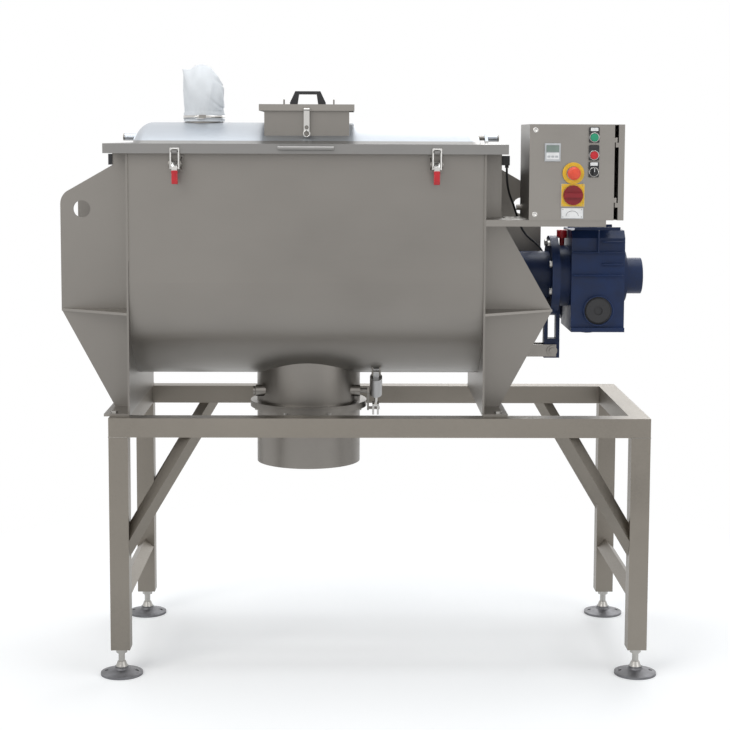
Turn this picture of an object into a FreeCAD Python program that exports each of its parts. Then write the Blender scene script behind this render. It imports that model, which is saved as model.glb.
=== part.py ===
import FreeCAD, Part
import math
import os

import Sketcher
from FreeCAD import Placement, Rotation, Vector

# Ribbon blender on a square-tube stand: a U-shaped stainless tank with a hinged domed lid, a double
# ribbon agitator on a through shaft, a bevel gear motor on the right, a flap valve in the outlet below
# and a control box on a shelf at the front right corner.
# Millimetres. +X points to the drive end, +Y to the back and +Z up. The origin is on the floor under
# the middle of the stand.

SIZES = [
    # stand
    ("stand_length", 1682, "over the front legs"),
    ("stand_depth", 744, "over the side beams"),
    ("stand_top", 820, "top of the beams above the floor"),
    ("tube", 60, "leg and beam tube, square"),
    ("tube_wall", 3, "leg and beam tube wall"),
    ("leg_clear", 84, "floor to the underside of a leg"),
    ("leg_sole", 8, "threaded plate that closes a leg"),
    ("brace_tube", 40, "brace and rail tube, square, on edge"),
    ("brace_wall", 2.5, "brace and rail tube wall"),
    ("brace_run", 195, "leg face to brace axis, along the beam"),
    ("brace_drop", 328, "beam to brace axis, along the leg"),
    ("rail_level", 247, "height of the side rails' axis"),
    ("spindle_radius", 10, "levelling spindle"),
    ("nut_flats", 30, "lock nut across flats"),
    ("nut_height", 15, "lock nut"),
    ("pad_radius", 66, "foot disc"),
    ("pad_edge", 7, "foot disc at its edge"),
    ("pad_height", 26, "foot disc at its hub"),
    ("pad_hub", 21, "radius of the foot disc's hub"),
    ("pad_bolt", 48, "foot centre to its floor bolt holes"),
    ("pad_hole", 6, "radius of a floor bolt hole"),
    ("collar_height", 16, "flared collar above a foot disc"),
    # tank
    ("tank_x", -230, "middle of the tank along X"),
    ("tank_length", 1112, "over the end plates"),
    ("tank_top", 1642, "top edge of the tank"),
    ("shaft_level", 1236, "height of the agitator axis"),
    ("trough_radius", 316, "inside of the trough"),
    ("trough_wall", 4, "trough sheet"),
    ("end_wall", 6, "end plate"),
    ("end_margin", 6, "end plate beyond the trough sheet"),
    ("sole_wall", 8, "plate under each tank end"),
    ("sole_reach", 73, "sole plate beyond the end plate"),
    ("sole_margin", 11, "sole plate beyond the end plate, front and back"),
    ("wing_wall", 6, "side wing"),
    ("wing_setback", 178, "tank middle to the outer face of a wing"),
    ("wing_reach", 226, "wing beyond the end plate"),
    ("wing_neck", 60, "wing beyond the end plate, at the top and bottom"),
    ("wing_low", 1138, "height where a wing reaches its full width"),
    ("wing_high", 1474, "height where the ear starts to round"),
    ("ear_corner", 1519, "height where the ear's round ends"),
    ("ear_inset", 30, "ear corner behind the wing's reach"),
    ("ear_shoulder", 1597, "height where the ear meets the neck"),
    ("cut_shoulder", 1430, "same on the wing under the control box"),
    ("eye_reach", 158, "lifting eye beyond the end plate"),
    ("eye_level", 1458, "height of the lifting eye"),
    ("eye_radius", 27, "lifting eye"),
    ("gusset_wall", 8, "level gusset between a wing and its end plate"),
    # agitator
    ("shaft_radius", 38, "shaft inside the tank"),
    ("journal_radius", 25, "shaft in the left bearing"),
    ("drive_radius", 30, "shaft in the seal and the hollow gear shaft"),
    ("ribbon_gap", 5, "outer ribbon to the trough"),
    ("ribbon_width", 44, "outer ribbon, radially"),
    ("ribbon_wall", 8, "both ribbons, along the shaft"),
    ("inner_reach", 178, "outer radius of the inner ribbon"),
    ("inner_width", 36, "inner ribbon, radially"),
    ("end_gap", 8, "ribbons to the end plates"),
    ("mid_gap", 10, "between the two halves of a ribbon"),
    ("spoke_radius", 10, "spokes"),
    ("running_gap", 0.05, "running fits, radially"),
    # shaft seals, bearing
    ("seal_radius", 72, "seal housings"),
    ("seal_length", 24, "seal housings"),
    ("bearing_flange", 136, "bearing flange, square"),
    ("bearing_wall", 14, "bearing flange"),
    ("bearing_radius", 41, "bearing boss"),
    ("bearing_length", 34, "bearing boss"),
    # lid
    ("lid_overhang", 64, "lid frame beyond the end plates"),
    ("lid_front", 366, "lid frame, tank middle to front and back"),
    ("lid_level", 1636, "underside of the lid frame"),
    ("lid_height", 30, "lid frame"),
    ("lid_wall", 3, "lid sheet"),
    ("dome_inset", 11, "end of the dome in from the tank end"),
    ("dome_depth", 326, "dome, middle to front and back"),
    ("dome_rise", 67, "dome above the lid frame"),
    ("dome_round", 42, "rounding of the dome's ends"),
    ("gasket_height", 6, "lid gasket"),
    ("lid_hinge_y", 392, "lid hinge axis behind the tank middle"),
    ("lid_hinge_z", 1684, "height of the lid hinge axis"),
    ("lid_hinge_x", 610, "lid hinges, each side of the tank middle"),
    ("hinge_pin", 8, "radius of the lid hinge pins"),
    ("grab_length", 170, "grab bar on the lid"),
    # feed port and breather
    ("port_length", 264, "feed port along X"),
    ("port_front", 260, "feed port's front face, before the tank middle"),
    ("port_depth", 300, "feed port along Y"),
    ("port_top", 1785, "top edge of the feed port"),
    ("port_lid_height", 20, "feed port lid"),
    ("port_lid_margin", 16, "feed port lid beyond the port"),
    ("collar_x", -340, "breather, from the tank middle"),
    ("collar_radius", 62, "breather collar"),
    ("collar_top", 1764, "top edge of the breather collar"),
    ("bag_top", 1921, "top of the dust bag"),
    # clamps
    ("clamp_x", 400, "lid clamps, each side of the tank middle"),
    ("clamp_y", 362, "clamp lever pivot before the tank middle"),
    ("clamp_z", 1605, "height of the clamp lever pivot"),
    ("bail_radius", 3, "clamp bail wire"),
    ("bail_half", 12.5, "half the spread of the bail's legs"),
    # gas springs
    ("spring_x", 29, "gas springs outside the end plates"),
    ("spring_low_y", 210, "lower pin of a gas spring behind the tank middle"),
    ("spring_low_z", 1360, "height of a gas spring's lower pin"),
    ("spring_top_y", 250, "upper pin of a gas spring behind the tank middle, lid closed"),
    ("spring_top_z", 1622, "height of a gas spring's upper pin, lid closed"),
    # outlet and valve
    ("outlet_radius", 169.5, "outlet pipe, outside"),
    ("outlet_wall", 3, "outlet pipe"),
    ("outlet_end", 621, "lower end of the outlet"),
    ("flange_radius", 191.5, "outlet flanges"),
    ("flange_level", 814, "height of the joint between the outlet flanges"),
    ("flange_wall", 10, "each outlet flange"),
    ("hole_radius", 150, "outlet hole in the trough"),
    ("hole_front", 72, "straight front edge of the hole, before the middle"),
    ("flap_gap", 1.5, "flap to the hole's edge"),
    ("valve_y", 81, "valve shaft before the middle"),
    ("valve_z", 864, "height of the valve shaft"),
    ("valve_radius", 8, "valve shaft"),
    ("boss_radius", 19, "valve shaft bosses"),
    ("lever_y", 44, "lever pin behind the valve shaft"),
    ("lever_z", 64, "lever pin below the valve shaft"),
    ("mount_y", 50, "cylinder pin before the valve shaft"),
    ("mount_z", 65, "cylinder pin above the valve shaft"),
    ("lever_x", 193, "valve lever, right of the outlet's axis"),
    ("actuator_x", 221, "actuator, right of the outlet's axis"),
    ("actuator_radius", 20, "air cylinder"),
    # drive
    ("lantern_radius", 80, "tube between tank and gear unit"),
    ("lantern_wall", 7, "tube between tank and gear unit"),
    ("drive_flange_x", 571, "joint between the lantern's and the gear unit's flanges"),
    ("drive_flange", 131, "radius of the lantern's and gear unit's flanges"),
    ("drive_flange_wall", 13, "each drive flange"),
    ("case_x", 620, "left face of the gear case"),
    ("case_length", 172, "gear case along X"),
    ("case_low", 1063, "underside of the gear case"),
    ("case_high", 1390, "top of the gear case"),
    ("case_depth", 118, "gear case, axis to front and back"),
    ("case_chamfer", 24, "upper corners of the gear case"),
    ("cap_end", 862, "outer end of the shaft cap"),
    ("cap_radius", 59, "shaft cap"),
    ("motor_x", 707, "motor axis along X"),
    ("motor_z", 1132, "height of the motor axis"),
    ("motor_radius", 84, "motor frame without its fins"),
    ("motor_fin", 14, "motor fins, radially"),
    ("motor_length", 250, "finned motor frame"),
    ("cowl_length", 70, "fan cowl"),
    # control box
    ("panel_hole", 11, "radius of the holes for the controls"),
    ("box_gap", 131, "tank end plate to the control box"),
    ("box_front", 330, "door of the control box before the tank middle"),
    ("box_length", 293, "control box along X"),
    ("box_depth", 270, "control box along Y, with its door"),
    ("box_low", 1434, "underside of the control box"),
    ("box_height", 295, "control box"),
    ("box_wall", 2, "control box sheet"),
    ("door_length", 262, "door along X"),
    ("door_depth", 22, "door along Y"),
    ("shelf_length", 371, "shelf from the tank's end plate"),
    ("shelf_front", 326, "shelf before the tank middle"),
    ("shelf_back", 92, "shelf's back edge before the tank middle"),
    ("shelf_height", 20, "shelf"),
    # fasteners
    ("bolt_radius", 6, "M12 bolts"),
    ("bolt_flats", 19, "M12 bolt head across flats"),
    ("bolt_head", 8, "M12 bolt head"),
]

doc = FreeCAD.newDocument("ribbon_blender")
dims = doc.addObject("Spreadsheet::Sheet", "dims")
for row, (alias, number, note) in enumerate(SIZES, start=1):
    dims.set(f"A{row}", alias)
    dims.set(f"B{row}", str(number))
    dims.set(f"C{row}", note)
    dims.setAlias(f"B{row}", alias)
doc.recompute()


class Size:
    """A length that carries its value and the sheet formula that gives it."""

    def __init__(self, value, formula):
        self.value = value
        self.formula = formula

    def __add__(self, other):
        other = size(other)
        return Size(self.value + other.value, f"({self.formula} + {other.formula})")

    def __sub__(self, other):
        other = size(other)
        return Size(self.value - other.value, f"({self.formula} - {other.formula})")

    def __mul__(self, other):
        other = size(other)
        return Size(self.value * other.value, f"({self.formula} * {other.formula})")

    def __truediv__(self, other):
        other = size(other)
        return Size(self.value / other.value, f"({self.formula} / {other.formula})")

    def __radd__(self, other):
        return size(other) + self

    def __rsub__(self, other):
        return size(other) - self

    def __rmul__(self, other):
        return size(other) * self

    def __neg__(self):
        return size(-1) * self


def size(number):
    """A plain number as a Size."""
    if isinstance(number, Size):
        return number
    return Size(float(number), f"({float(number)})")


def root(area):
    return Size(math.sqrt(area.value), f"sqrt({area.formula})")


class Sheet:
    """The driving dimensions by name, each as a Size."""

    def __getattr__(self, alias):
        return Size(float(dims.get(alias)), f"dims.{alias}")


d = Sheet()
NODES = []


def node(piece, name):
    """Name a finished piece: its label is the name of its file."""
    piece.Label = name
    NODES.append(piece)
    return piece


def bind(piece, prop, length):
    length = size(length)
    piece.setExpression(prop, length.formula)


def place(piece, at, turn=Rotation()):
    piece.Placement = Placement(Vector(*[size(c).value for c in at]), turn)
    for axis, c in zip("xyz", at):
        if isinstance(c, Size):
            bind(piece, f"Placement.Base.{axis}", c)
    return piece


ALONG = {
    "X": Rotation(Vector(0, 1, 0), 90),
    "Y": Rotation(Vector(1, 0, 0), -90),
    "Z": Rotation(),
}
BACKWARD = Rotation(Vector(0, 1, 0), -90)
DOWNWARD = Rotation(Vector(1, 0, 0), 180)


def facing(along):
    """An axis by its letter, or a rotation as it is."""
    return ALONG[along] if isinstance(along, str) else along


def block(name, length, width, height, at, turn=Rotation()):
    """A box from its corner nearest the origin of its own axes."""
    piece = doc.addObject("Part::Box", name)
    bind(piece, "Length", length)
    bind(piece, "Width", width)
    bind(piece, "Height", height)
    return place(piece, at, turn)


def bar(name, radius, length, at, along="Z"):
    """A round bar that starts at a point and runs along an axis or in a turned direction."""
    piece = doc.addObject("Part::Cylinder", name)
    bind(piece, "Radius", radius)
    bind(piece, "Height", length)
    return place(piece, at, facing(along))


def taper(name, radius1, radius2, length, at, along="Z"):
    piece = doc.addObject("Part::Cone", name)
    bind(piece, "Radius1", radius1)
    bind(piece, "Radius2", radius2)
    bind(piece, "Height", length)
    return place(piece, at, facing(along))


def hexagon(name, flats, length, at, along="Z"):
    piece = doc.addObject("Part::Prism", name)
    piece.Polygon = 6
    bind(piece, "Circumradius", size(flats) / math.sqrt(3))
    bind(piece, "Height", length)
    return place(piece, at, facing(along))


def join(name, *pieces):
    """Pieces welded or cast as one."""
    piece = doc.addObject("Part::MultiFuse", name)
    piece.Shapes = list(pieces)
    return piece


def group(name, *pieces):
    """Separate solids that share one node."""
    piece = doc.addObject("Part::Compound", name)
    piece.Links = list(pieces)
    return piece


def cut(name, base, *tools):
    piece = doc.addObject("Part::Cut", name)
    piece.Base = base
    piece.Tool = tools[0] if len(tools) == 1 else group(f"{name}_tools", *tools)
    return piece


def common(name, base, tool):
    piece = doc.addObject("Part::Common", name)
    piece.Base = base
    piece.Tool = tool
    return piece


def pin_down(sketch, geometry, vertex, u, v):
    """Hold a sketch point at (u, v) from the sketch's origin."""
    for kind, length in (("DistanceX", size(u)), ("DistanceY", size(v))):
        rule = Sketcher.Constraint(kind, -1, 1, geometry, vertex, length.value)
        index = sketch.addConstraint(rule)
        sketch.setExpression(f"Constraints[{index}]", length.formula)


def draw(sketch, corners):
    """A closed outline. A corner is (u, v), or (u, v, cu, cv, turn) when the run that leads to it is
    an arc about (cu, cv), anticlockwise for turn 1 and clockwise for turn -1."""
    runs = []
    for index, corner in enumerate(corners):
        before = corners[index - 1]
        start = Vector(size(before[0]).value, size(before[1]).value, 0)
        end = Vector(size(corner[0]).value, size(corner[1]).value, 0)
        if len(corner) == 2:
            runs.append((sketch.addGeometry(Part.LineSegment(start, end), False), 1, 2))
            continue
        centre = Vector(size(corner[2]).value, size(corner[3]).value, 0)
        first, last = (start, end) if corner[4] > 0 else (end, start)
        angles = [math.atan2((p - centre).y, (p - centre).x) for p in (first, last)]
        if angles[1] <= angles[0]:
            angles[1] += 2 * math.pi
        circle = Part.Circle(centre, Vector(0, 0, 1), (start - centre).Length)
        arc = sketch.addGeometry(Part.ArcOfCircle(circle, *angles), False)
        runs.append((arc, 1, 2) if corner[4] > 0 else (arc, 2, 1))
    for index, corner in enumerate(corners):
        geometry, first, last = runs[index]
        following = runs[(index + 1) % len(runs)]
        sketch.addConstraint(Sketcher.Constraint("Coincident", geometry, last, following[0], following[1]))
        pin_down(sketch, geometry, last, corner[0], corner[1])
        if len(corner) > 2:
            chord = (abs(size(corner[0]).value - size(corners[index - 1][0]).value),
                     abs(size(corner[1]).value - size(corners[index - 1][1]).value))
            kind, length = (("DistanceY", size(corner[3])) if chord[0] > chord[1]
                            else ("DistanceX", size(corner[2])))
            rule = Sketcher.Constraint(kind, -1, 1, geometry, 3, length.value)
            place_rule = sketch.addConstraint(rule)
            sketch.setExpression(f"Constraints[{place_rule}]", length.formula)


def drill(sketch, u, v, radius):
    """A round hole in a sketch."""
    circle = Part.Circle(Vector(size(u).value, size(v).value, 0), Vector(0, 0, 1), size(radius).value)
    geometry = sketch.addGeometry(circle, False)
    pin_down(sketch, geometry, 3, u, v)
    index = sketch.addConstraint(Sketcher.Constraint("Radius", geometry, size(radius).value))
    sketch.setExpression(f"Constraints[{index}]", size(radius).formula)


def sketch_on(body, role, name, corners, holes=()):
    sketch = body.newObject("Sketcher::SketchObject", name)
    support = [feature for feature in body.Origin.OriginFeatures if feature.Role == role]
    sketch.AttachmentSupport = [(support[0], "")]
    sketch.MapMode = "FlatFace"
    draw(sketch, corners)
    for hole in holes:
        drill(sketch, *hole)
    return sketch


def plate(name, plane, corners, thickness, at=(0, 0, 0), holes=(), turn=Rotation()):
    """A body padded from an outline. On XY it grows up, on XZ to the front and on YZ to the right."""
    body = doc.addObject("PartDesign::Body", name)
    sketch = sketch_on(body, f"{plane}_Plane", f"{name}_outline", corners, holes)
    pad = body.newObject("PartDesign::Pad", f"{name}_pad")
    pad.Profile = sketch
    bind(pad, "Length", thickness)
    place(body, at, turn)
    return body


def turned(name, corners, at=(0, 0, 0), turn=Rotation()):
    """A body turned about its own Z axis from an outline of (radius, height) corners."""
    body = doc.addObject("PartDesign::Body", name)
    sketch = sketch_on(body, "XZ_Plane", f"{name}_outline", corners)
    spin = body.newObject("PartDesign::Revolution", f"{name}_turned")
    spin.Profile = sketch
    spin.ReferenceAxis = (sketch, ["V_Axis"])
    spin.Angle = 360
    place(body, at, turn)
    return body


def rectangle(u0, v0, u1, v1):
    return [(u0, v0), (u1, v0), (u1, v1), (u0, v1)]


def bolt(name, length, at, along="Z", radius=None, flats=None, head=None):
    """A hexagon bolt: its shank starts at a point, and the head sits behind that point."""
    radius = radius or d.bolt_radius
    flats = flats or d.bolt_flats
    head = head or d.bolt_head
    turn = facing(along)
    shank = bar(f"{name}_shank", radius, length, (0, 0, 0))
    cap = hexagon(f"{name}_head", flats, head, (0, 0, -head))
    return place(join(name, shank, cap), at, turn)


# ---------------------------------------------------------------- places that several pieces share
TANK_LEFT = d.tank_x - d.tank_length / 2
TANK_RIGHT = d.tank_x + d.tank_length / 2
END_DEPTH = d.trough_radius + d.trough_wall + d.end_margin
SOLE_TOP = d.stand_top + d.sole_wall
LID_TOP = d.lid_level + d.lid_height
DOME_LENGTH = d.tank_length - 2 * d.dome_inset
BOX_X = TANK_RIGHT + d.box_gap
BEAM_UNDER = d.stand_top - d.tube
LEG_X = d.stand_length / 2
LEG_Y = d.stand_depth / 2
VALVE_Y = -d.valve_y
SOLE_BOLTS_X = [TANK_LEFT - d.wing_neck + 18, TANK_RIGHT + d.wing_neck - 18]
SOLE_BOLT_Y = -LEG_Y + d.tube / 2 + 20
PORT_BACK = d.port_depth - d.port_front
PORT_AXIS = d.port_top + d.lid_wall - 10
HALF_SPAN = (d.tank_length - 2 * d.end_wall - 2 * d.end_gap - d.mid_gap) / 2
HINGE_X = BOX_X + d.door_length + 5.5
HINGE_Y = -d.box_front + 4
# centre of each control on the door, along X and up
FACE = {
    "green": (BOX_X + 198, d.box_low + 255),
    "red": (BOX_X + 198, d.box_low + 200.5),
    "selector": (BOX_X + 198, d.box_low + 149),
    "estop": (BOX_X + 135, d.box_low + 145),
    "mains": (BOX_X + 134.5, d.box_low + 77.5),
}


def end_face(side):
    """Outer face of the left (-1) or right (1) end plate."""
    return TANK_LEFT if side < 0 else TANK_RIGHT


# ---------------------------------------------------------------- stand
def stand():
    legs, spindles, pads = [], [], []
    for index, (side, front) in enumerate([(-1, -1), (1, -1), (-1, 1), (1, 1)]):
        x = side * (LEG_X - d.tube / 2)
        y = front * (LEG_Y - d.tube / 2)
        height = BEAM_UNDER - d.leg_clear
        corner = (x - d.tube / 2, y - d.tube / 2, d.leg_clear)
        outer = block(f"leg{index}_outer", d.tube, d.tube, height, corner)
        bore = d.tube - 2 * d.tube_wall
        inner = block(f"leg{index}_bore", bore, bore, height,
                      (x - bore / 2, y - bore / 2, d.leg_clear + d.leg_sole))
        thread = bar(f"leg{index}_thread", d.spindle_radius, d.leg_sole * 2,
                     (x, y, d.leg_clear - d.leg_sole / 2))
        legs.append(cut(f"leg{index}", outer, inner, thread))

        hub = d.pad_height
        spindle = bar(f"spindle{index}", d.spindle_radius, d.leg_clear + 60 - hub, (x, y, hub))
        collar = taper(f"collar{index}", d.pad_hub - 2, d.spindle_radius + 3, d.collar_height, (x, y, hub))
        nut = hexagon(f"locknut{index}", d.nut_flats, d.nut_height, (x, y, d.leg_clear - d.nut_height))
        spindles.append(join(f"foot_spindle{index}", spindle, collar, nut))
        profile = [(0, 0), (d.pad_radius, 0), (d.pad_radius, d.pad_edge), (d.pad_hub + 4, d.pad_height - 9),
                   (d.pad_hub, d.pad_height - 4), (d.pad_hub, d.pad_height), (0, d.pad_height)]
        disc = turned(f"pad{index}_disc", profile, (x, y, 0))
        holes = [bar(f"pad{index}_hole{k}", d.pad_hole, d.pad_height * 2, (x + k * d.pad_bolt, y, -1))
                 for k in (-1, 1)]
        pads.append(cut(f"foot_pad{index}", disc, *holes))
    node(group("legs", *legs), "stand_legs")
    node(group("spindles", *spindles), "foot_spindles")
    node(group("pads", *pads), "foot_pads")

    def mitred(name, half, inset, low, height):
        """One beam of the top frame, along X, with 45 degree ends; inset is taken off both long sides."""
        reach = LEG_Y - inset
        inner = LEG_Y - d.tube + inset
        slant = half - LEG_Y
        corners = [(-(slant + reach), -reach), (slant + reach, -reach),
                   (slant + inner, -inner), (-(slant + inner), -inner)]
        return plate(name, "XY", corners, height, (0, 0, low))

    def beam(name, half, turn):
        outer = mitred(f"{name}_outer", half, size(0), BEAM_UNDER, d.tube)
        inner = mitred(f"{name}_bore", half, d.tube_wall, BEAM_UNDER + d.tube_wall,
                       d.tube - 2 * d.tube_wall)
        way = -1 if turn else 1
        holes = [bar(f"{name}_hole{k}", d.bolt_radius + 0.5, d.tube_wall * 2,
                     (way * x, SOLE_BOLT_Y, d.stand_top - d.tube_wall))
                 for k, x in enumerate(SOLE_BOLTS_X)]
        piece = cut(name, outer, inner, *holes)
        piece.Placement = Placement(Vector(), Rotation(Vector(0, 0, 1), turn))
        return piece

    def side_beam(name, side):
        """Beam along Y between the mitres of the front and back beams."""
        def outline(inset):
            outer = LEG_X - inset
            inner = LEG_X - d.tube + inset
            slant = LEG_X - LEG_Y
            return [(side * outer, -(outer - slant)), (side * outer, outer - slant),
                    (side * inner, inner - slant), (side * inner, -(inner - slant))]
        outer = plate(f"{name}_outer", "XY", outline(size(0)), d.tube, (0, 0, BEAM_UNDER))
        inner = plate(f"{name}_bore", "XY", outline(d.tube_wall), d.tube - 2 * d.tube_wall,
                      (0, 0, BEAM_UNDER + d.tube_wall))
        if side > 0:
            return cut(name, outer, inner)
        holes = [bar(f"{name}_hole{k}", d.bolt_radius + 0.5, d.tube_wall * 2,
                     (SOLE_BOLTS_X[0], k * SOLE_BOLT_Y, d.stand_top - d.tube_wall)) for k in (-1, 1)]
        return cut(name, outer, inner, *holes)

    beams = [beam("front_beam", LEG_X, 0), beam("back_beam", LEG_X, 180),
             side_beam("left_beam", -1), side_beam("right_beam", 1)]
    node(group("beams", *beams), "stand_top_frame")

    def edge_tube(name, length, at, direction):
        """A square tube on edge that starts at a point and runs in a direction."""
        outer = block(f"{name}_outer", d.brace_tube, d.brace_tube, length,
                      (-d.brace_tube / 2, -d.brace_tube / 2, 0))
        bore = d.brace_tube - 2 * d.brace_wall
        inner = block(f"{name}_bore", bore, bore, length + 2, (-bore / 2, -bore / 2, -1))
        piece = cut(name, outer, inner)
        turn = Rotation(Vector(0, 0, 1), direction).multiply(Rotation(Vector(0, 0, 1), 45))
        return place(piece, at, turn)

    braces = []
    bay = block("brace_bay", d.stand_length - 2 * d.tube, d.stand_depth, BEAM_UNDER,
                (-LEG_X + d.tube, -LEG_Y, 0))
    for index, (side, front) in enumerate([(-1, -1), (1, -1), (-1, 1), (1, 1)]):
        rise = Vector(-side * d.brace_run.value, 0, d.brace_drop.value)
        spare = d.brace_tube
        start = (side * (LEG_X - d.tube + spare), front * (LEG_Y - d.tube / 2),
                 BEAM_UNDER - d.brace_drop - spare * d.brace_drop / d.brace_run)
        slope = root(d.brace_run * d.brace_run + d.brace_drop * d.brace_drop) / d.brace_run
        span = (d.brace_run + 2 * spare) * slope
        long_tube = edge_tube(f"brace{index}_tube", span, start, rise)
        braces.append(common(f"brace{index}", long_tube, bay))
    for index, side in enumerate((-1, 1)):
        start = (side * (LEG_X - d.tube / 2), -LEG_Y + d.tube, d.rail_level)
        braces.append(edge_tube(f"rail{index}", d.stand_depth - 2 * d.tube, start, Vector(0, 1, 0)))
    node(group("braces", *braces), "stand_braces")


# ---------------------------------------------------------------- tank
def d_plate(name, radius, front, low, height):
    """A D-shaped prism on the outlet's axis."""
    half = root(radius * radius - front * front)
    corners = [(half, -front), (size(0), radius, 0, 0, 1), (-half, -front, 0, 0, 1)]
    return plate(name, "XY", corners, height, (d.tank_x, 0, low))


def tank(valve_bracket, bolts):
    outer = d.trough_radius + d.trough_wall
    inner = d.trough_radius
    sheet = [(-outer, d.tank_top), (-outer, d.shaft_level), (outer, d.shaft_level, 0, d.shaft_level, 1),
             (outer, d.tank_top), (inner, d.tank_top), (inner, d.shaft_level),
             (-inner, d.shaft_level, 0, d.shaft_level, -1), (-inner, d.tank_top)]
    shell = plate("trough_sheet", "YZ", sheet, d.tank_length - 2 * d.end_wall,
                  (TANK_LEFT + d.end_wall, 0, 0))
    mouth = d_plate("trough_mouth", d.hole_radius, d.hole_front, d.valve_z, d.shaft_level - d.valve_z)
    node(cut("trough", shell, mouth), "trough_shell")

    for side, label in ((-1, "end_plate_left"), (1, "end_plate_right")):
        corners = rectangle(-END_DEPTH, SOLE_TOP, END_DEPTH, d.tank_top)
        radius = (d.journal_radius if side < 0 else d.drive_radius) + 4
        start = TANK_LEFT if side < 0 else TANK_RIGHT - d.end_wall
        holes = [(0, d.shaft_level, radius)]
        for k in range(4):
            angle = math.radians(45 + 90 * k)
            reach = d.seal_radius - 14
            offset = (reach * math.cos(angle), d.shaft_level + reach * math.sin(angle))
            holes.append((*offset, d.bolt_radius + 0.5))
        node(plate(label, "YZ", corners, d.end_wall, (start, 0, 0), holes), label)

    wings, gussets = [], []
    for side, front in ((-1, -1), (-1, 1), (1, -1), (1, 1)):
        ear = not (side > 0 and front < 0)
        u = [side * c for c in (size(0), d.wing_neck, d.wing_reach, d.wing_reach - d.ear_inset,
                                d.eye_reach)]
        foot = [(u[0], SOLE_TOP), (u[1], SOLE_TOP), (u[2], d.wing_low)]
        if ear:
            rise = d.ear_corner - d.wing_high
            bend = (d.ear_inset * d.ear_inset + rise * rise) / (2 * d.ear_inset)
            rounding = [(u[2], d.wing_high),
                        (u[3], d.ear_corner, side * (d.wing_reach - bend), d.wing_high, side),
                        (u[1], d.ear_shoulder)]
            holes = [(u[4], d.eye_level, d.eye_radius)]
        else:
            rounding = [(u[1], d.cut_shoulder)]
            holes = []
        corners = foot + rounding + [(u[1], d.lid_level - 2), (u[0], d.lid_level - 2)]
        y = -d.wing_setback + d.wing_wall if front < 0 else d.wing_setback
        name = f"wing_{'left' if side < 0 else 'right'}_{'front' if front < 0 else 'back'}"
        wings.append(plate(name, "XZ", corners, d.wing_wall, (end_face(side), y, 0), holes))
        tip = side * d.wing_reach
        corners = [(0, front * d.wing_setback), (tip, front * d.wing_setback), (0, front * END_DEPTH)]
        gussets.append(plate(f"{name}_gusset", "XY", corners, d.gusset_wall,
                             (end_face(side), 0, d.wing_low - d.gusset_wall / 2)))
    node(group("wings", *wings), "side_wings")

    soles = []
    for side in (-1, 1):
        length = d.sole_reach + d.end_wall
        start = end_face(side) - d.sole_reach if side < 0 else end_face(side) - d.end_wall
        depth = END_DEPTH + d.sole_margin
        base = block(f"sole{side}", length, depth * 2, d.sole_wall, (start, -depth, d.stand_top))
        x = SOLE_BOLTS_X[0] if side < 0 else SOLE_BOLTS_X[1]
        holes = [bar(f"sole{side}_hole{k}", d.bolt_radius + 0.5, d.sole_wall * 3,
                     (x, k * SOLE_BOLT_Y, d.stand_top - d.sole_wall)) for k in (-1, 1)]
        bolts += [bolt(f"sole_bolt{side}_{k}", d.sole_wall + d.tube_wall, (x, k * SOLE_BOLT_Y, SOLE_TOP),
                       DOWNWARD)
                  for k in (-1, 1)]
        soles.append(cut(f"tank_sole{side}", base, *holes))
    node(group("tank_plates", *gussets, *soles, valve_bracket), "tank_gussets")



# ---------------------------------------------------------------- agitator, seals and bearing
def helix_band(name, outer, width, left_handed, at, turn):
    """One turn of a flat ribbon about its own Z axis."""
    body = doc.addObject("PartDesign::Body", name)
    corners = rectangle(outer - width, 0, outer, d.ribbon_wall)
    sketch = sketch_on(body, "XZ_Plane", f"{name}_section", corners)
    helix = body.newObject("PartDesign::AdditiveHelix", f"{name}_helix")
    helix.Profile = sketch
    helix.ReferenceAxis = ([f for f in body.Origin.OriginFeatures if f.Role == "Z_Axis"][0], [""])
    helix.Mode = "pitch-height-angle"
    bind(helix, "Pitch", HALF_SPAN - d.ribbon_wall)
    bind(helix, "Height", HALF_SPAN - d.ribbon_wall)
    helix.LeftHanded = left_handed
    return place(body, at, turn)


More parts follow.
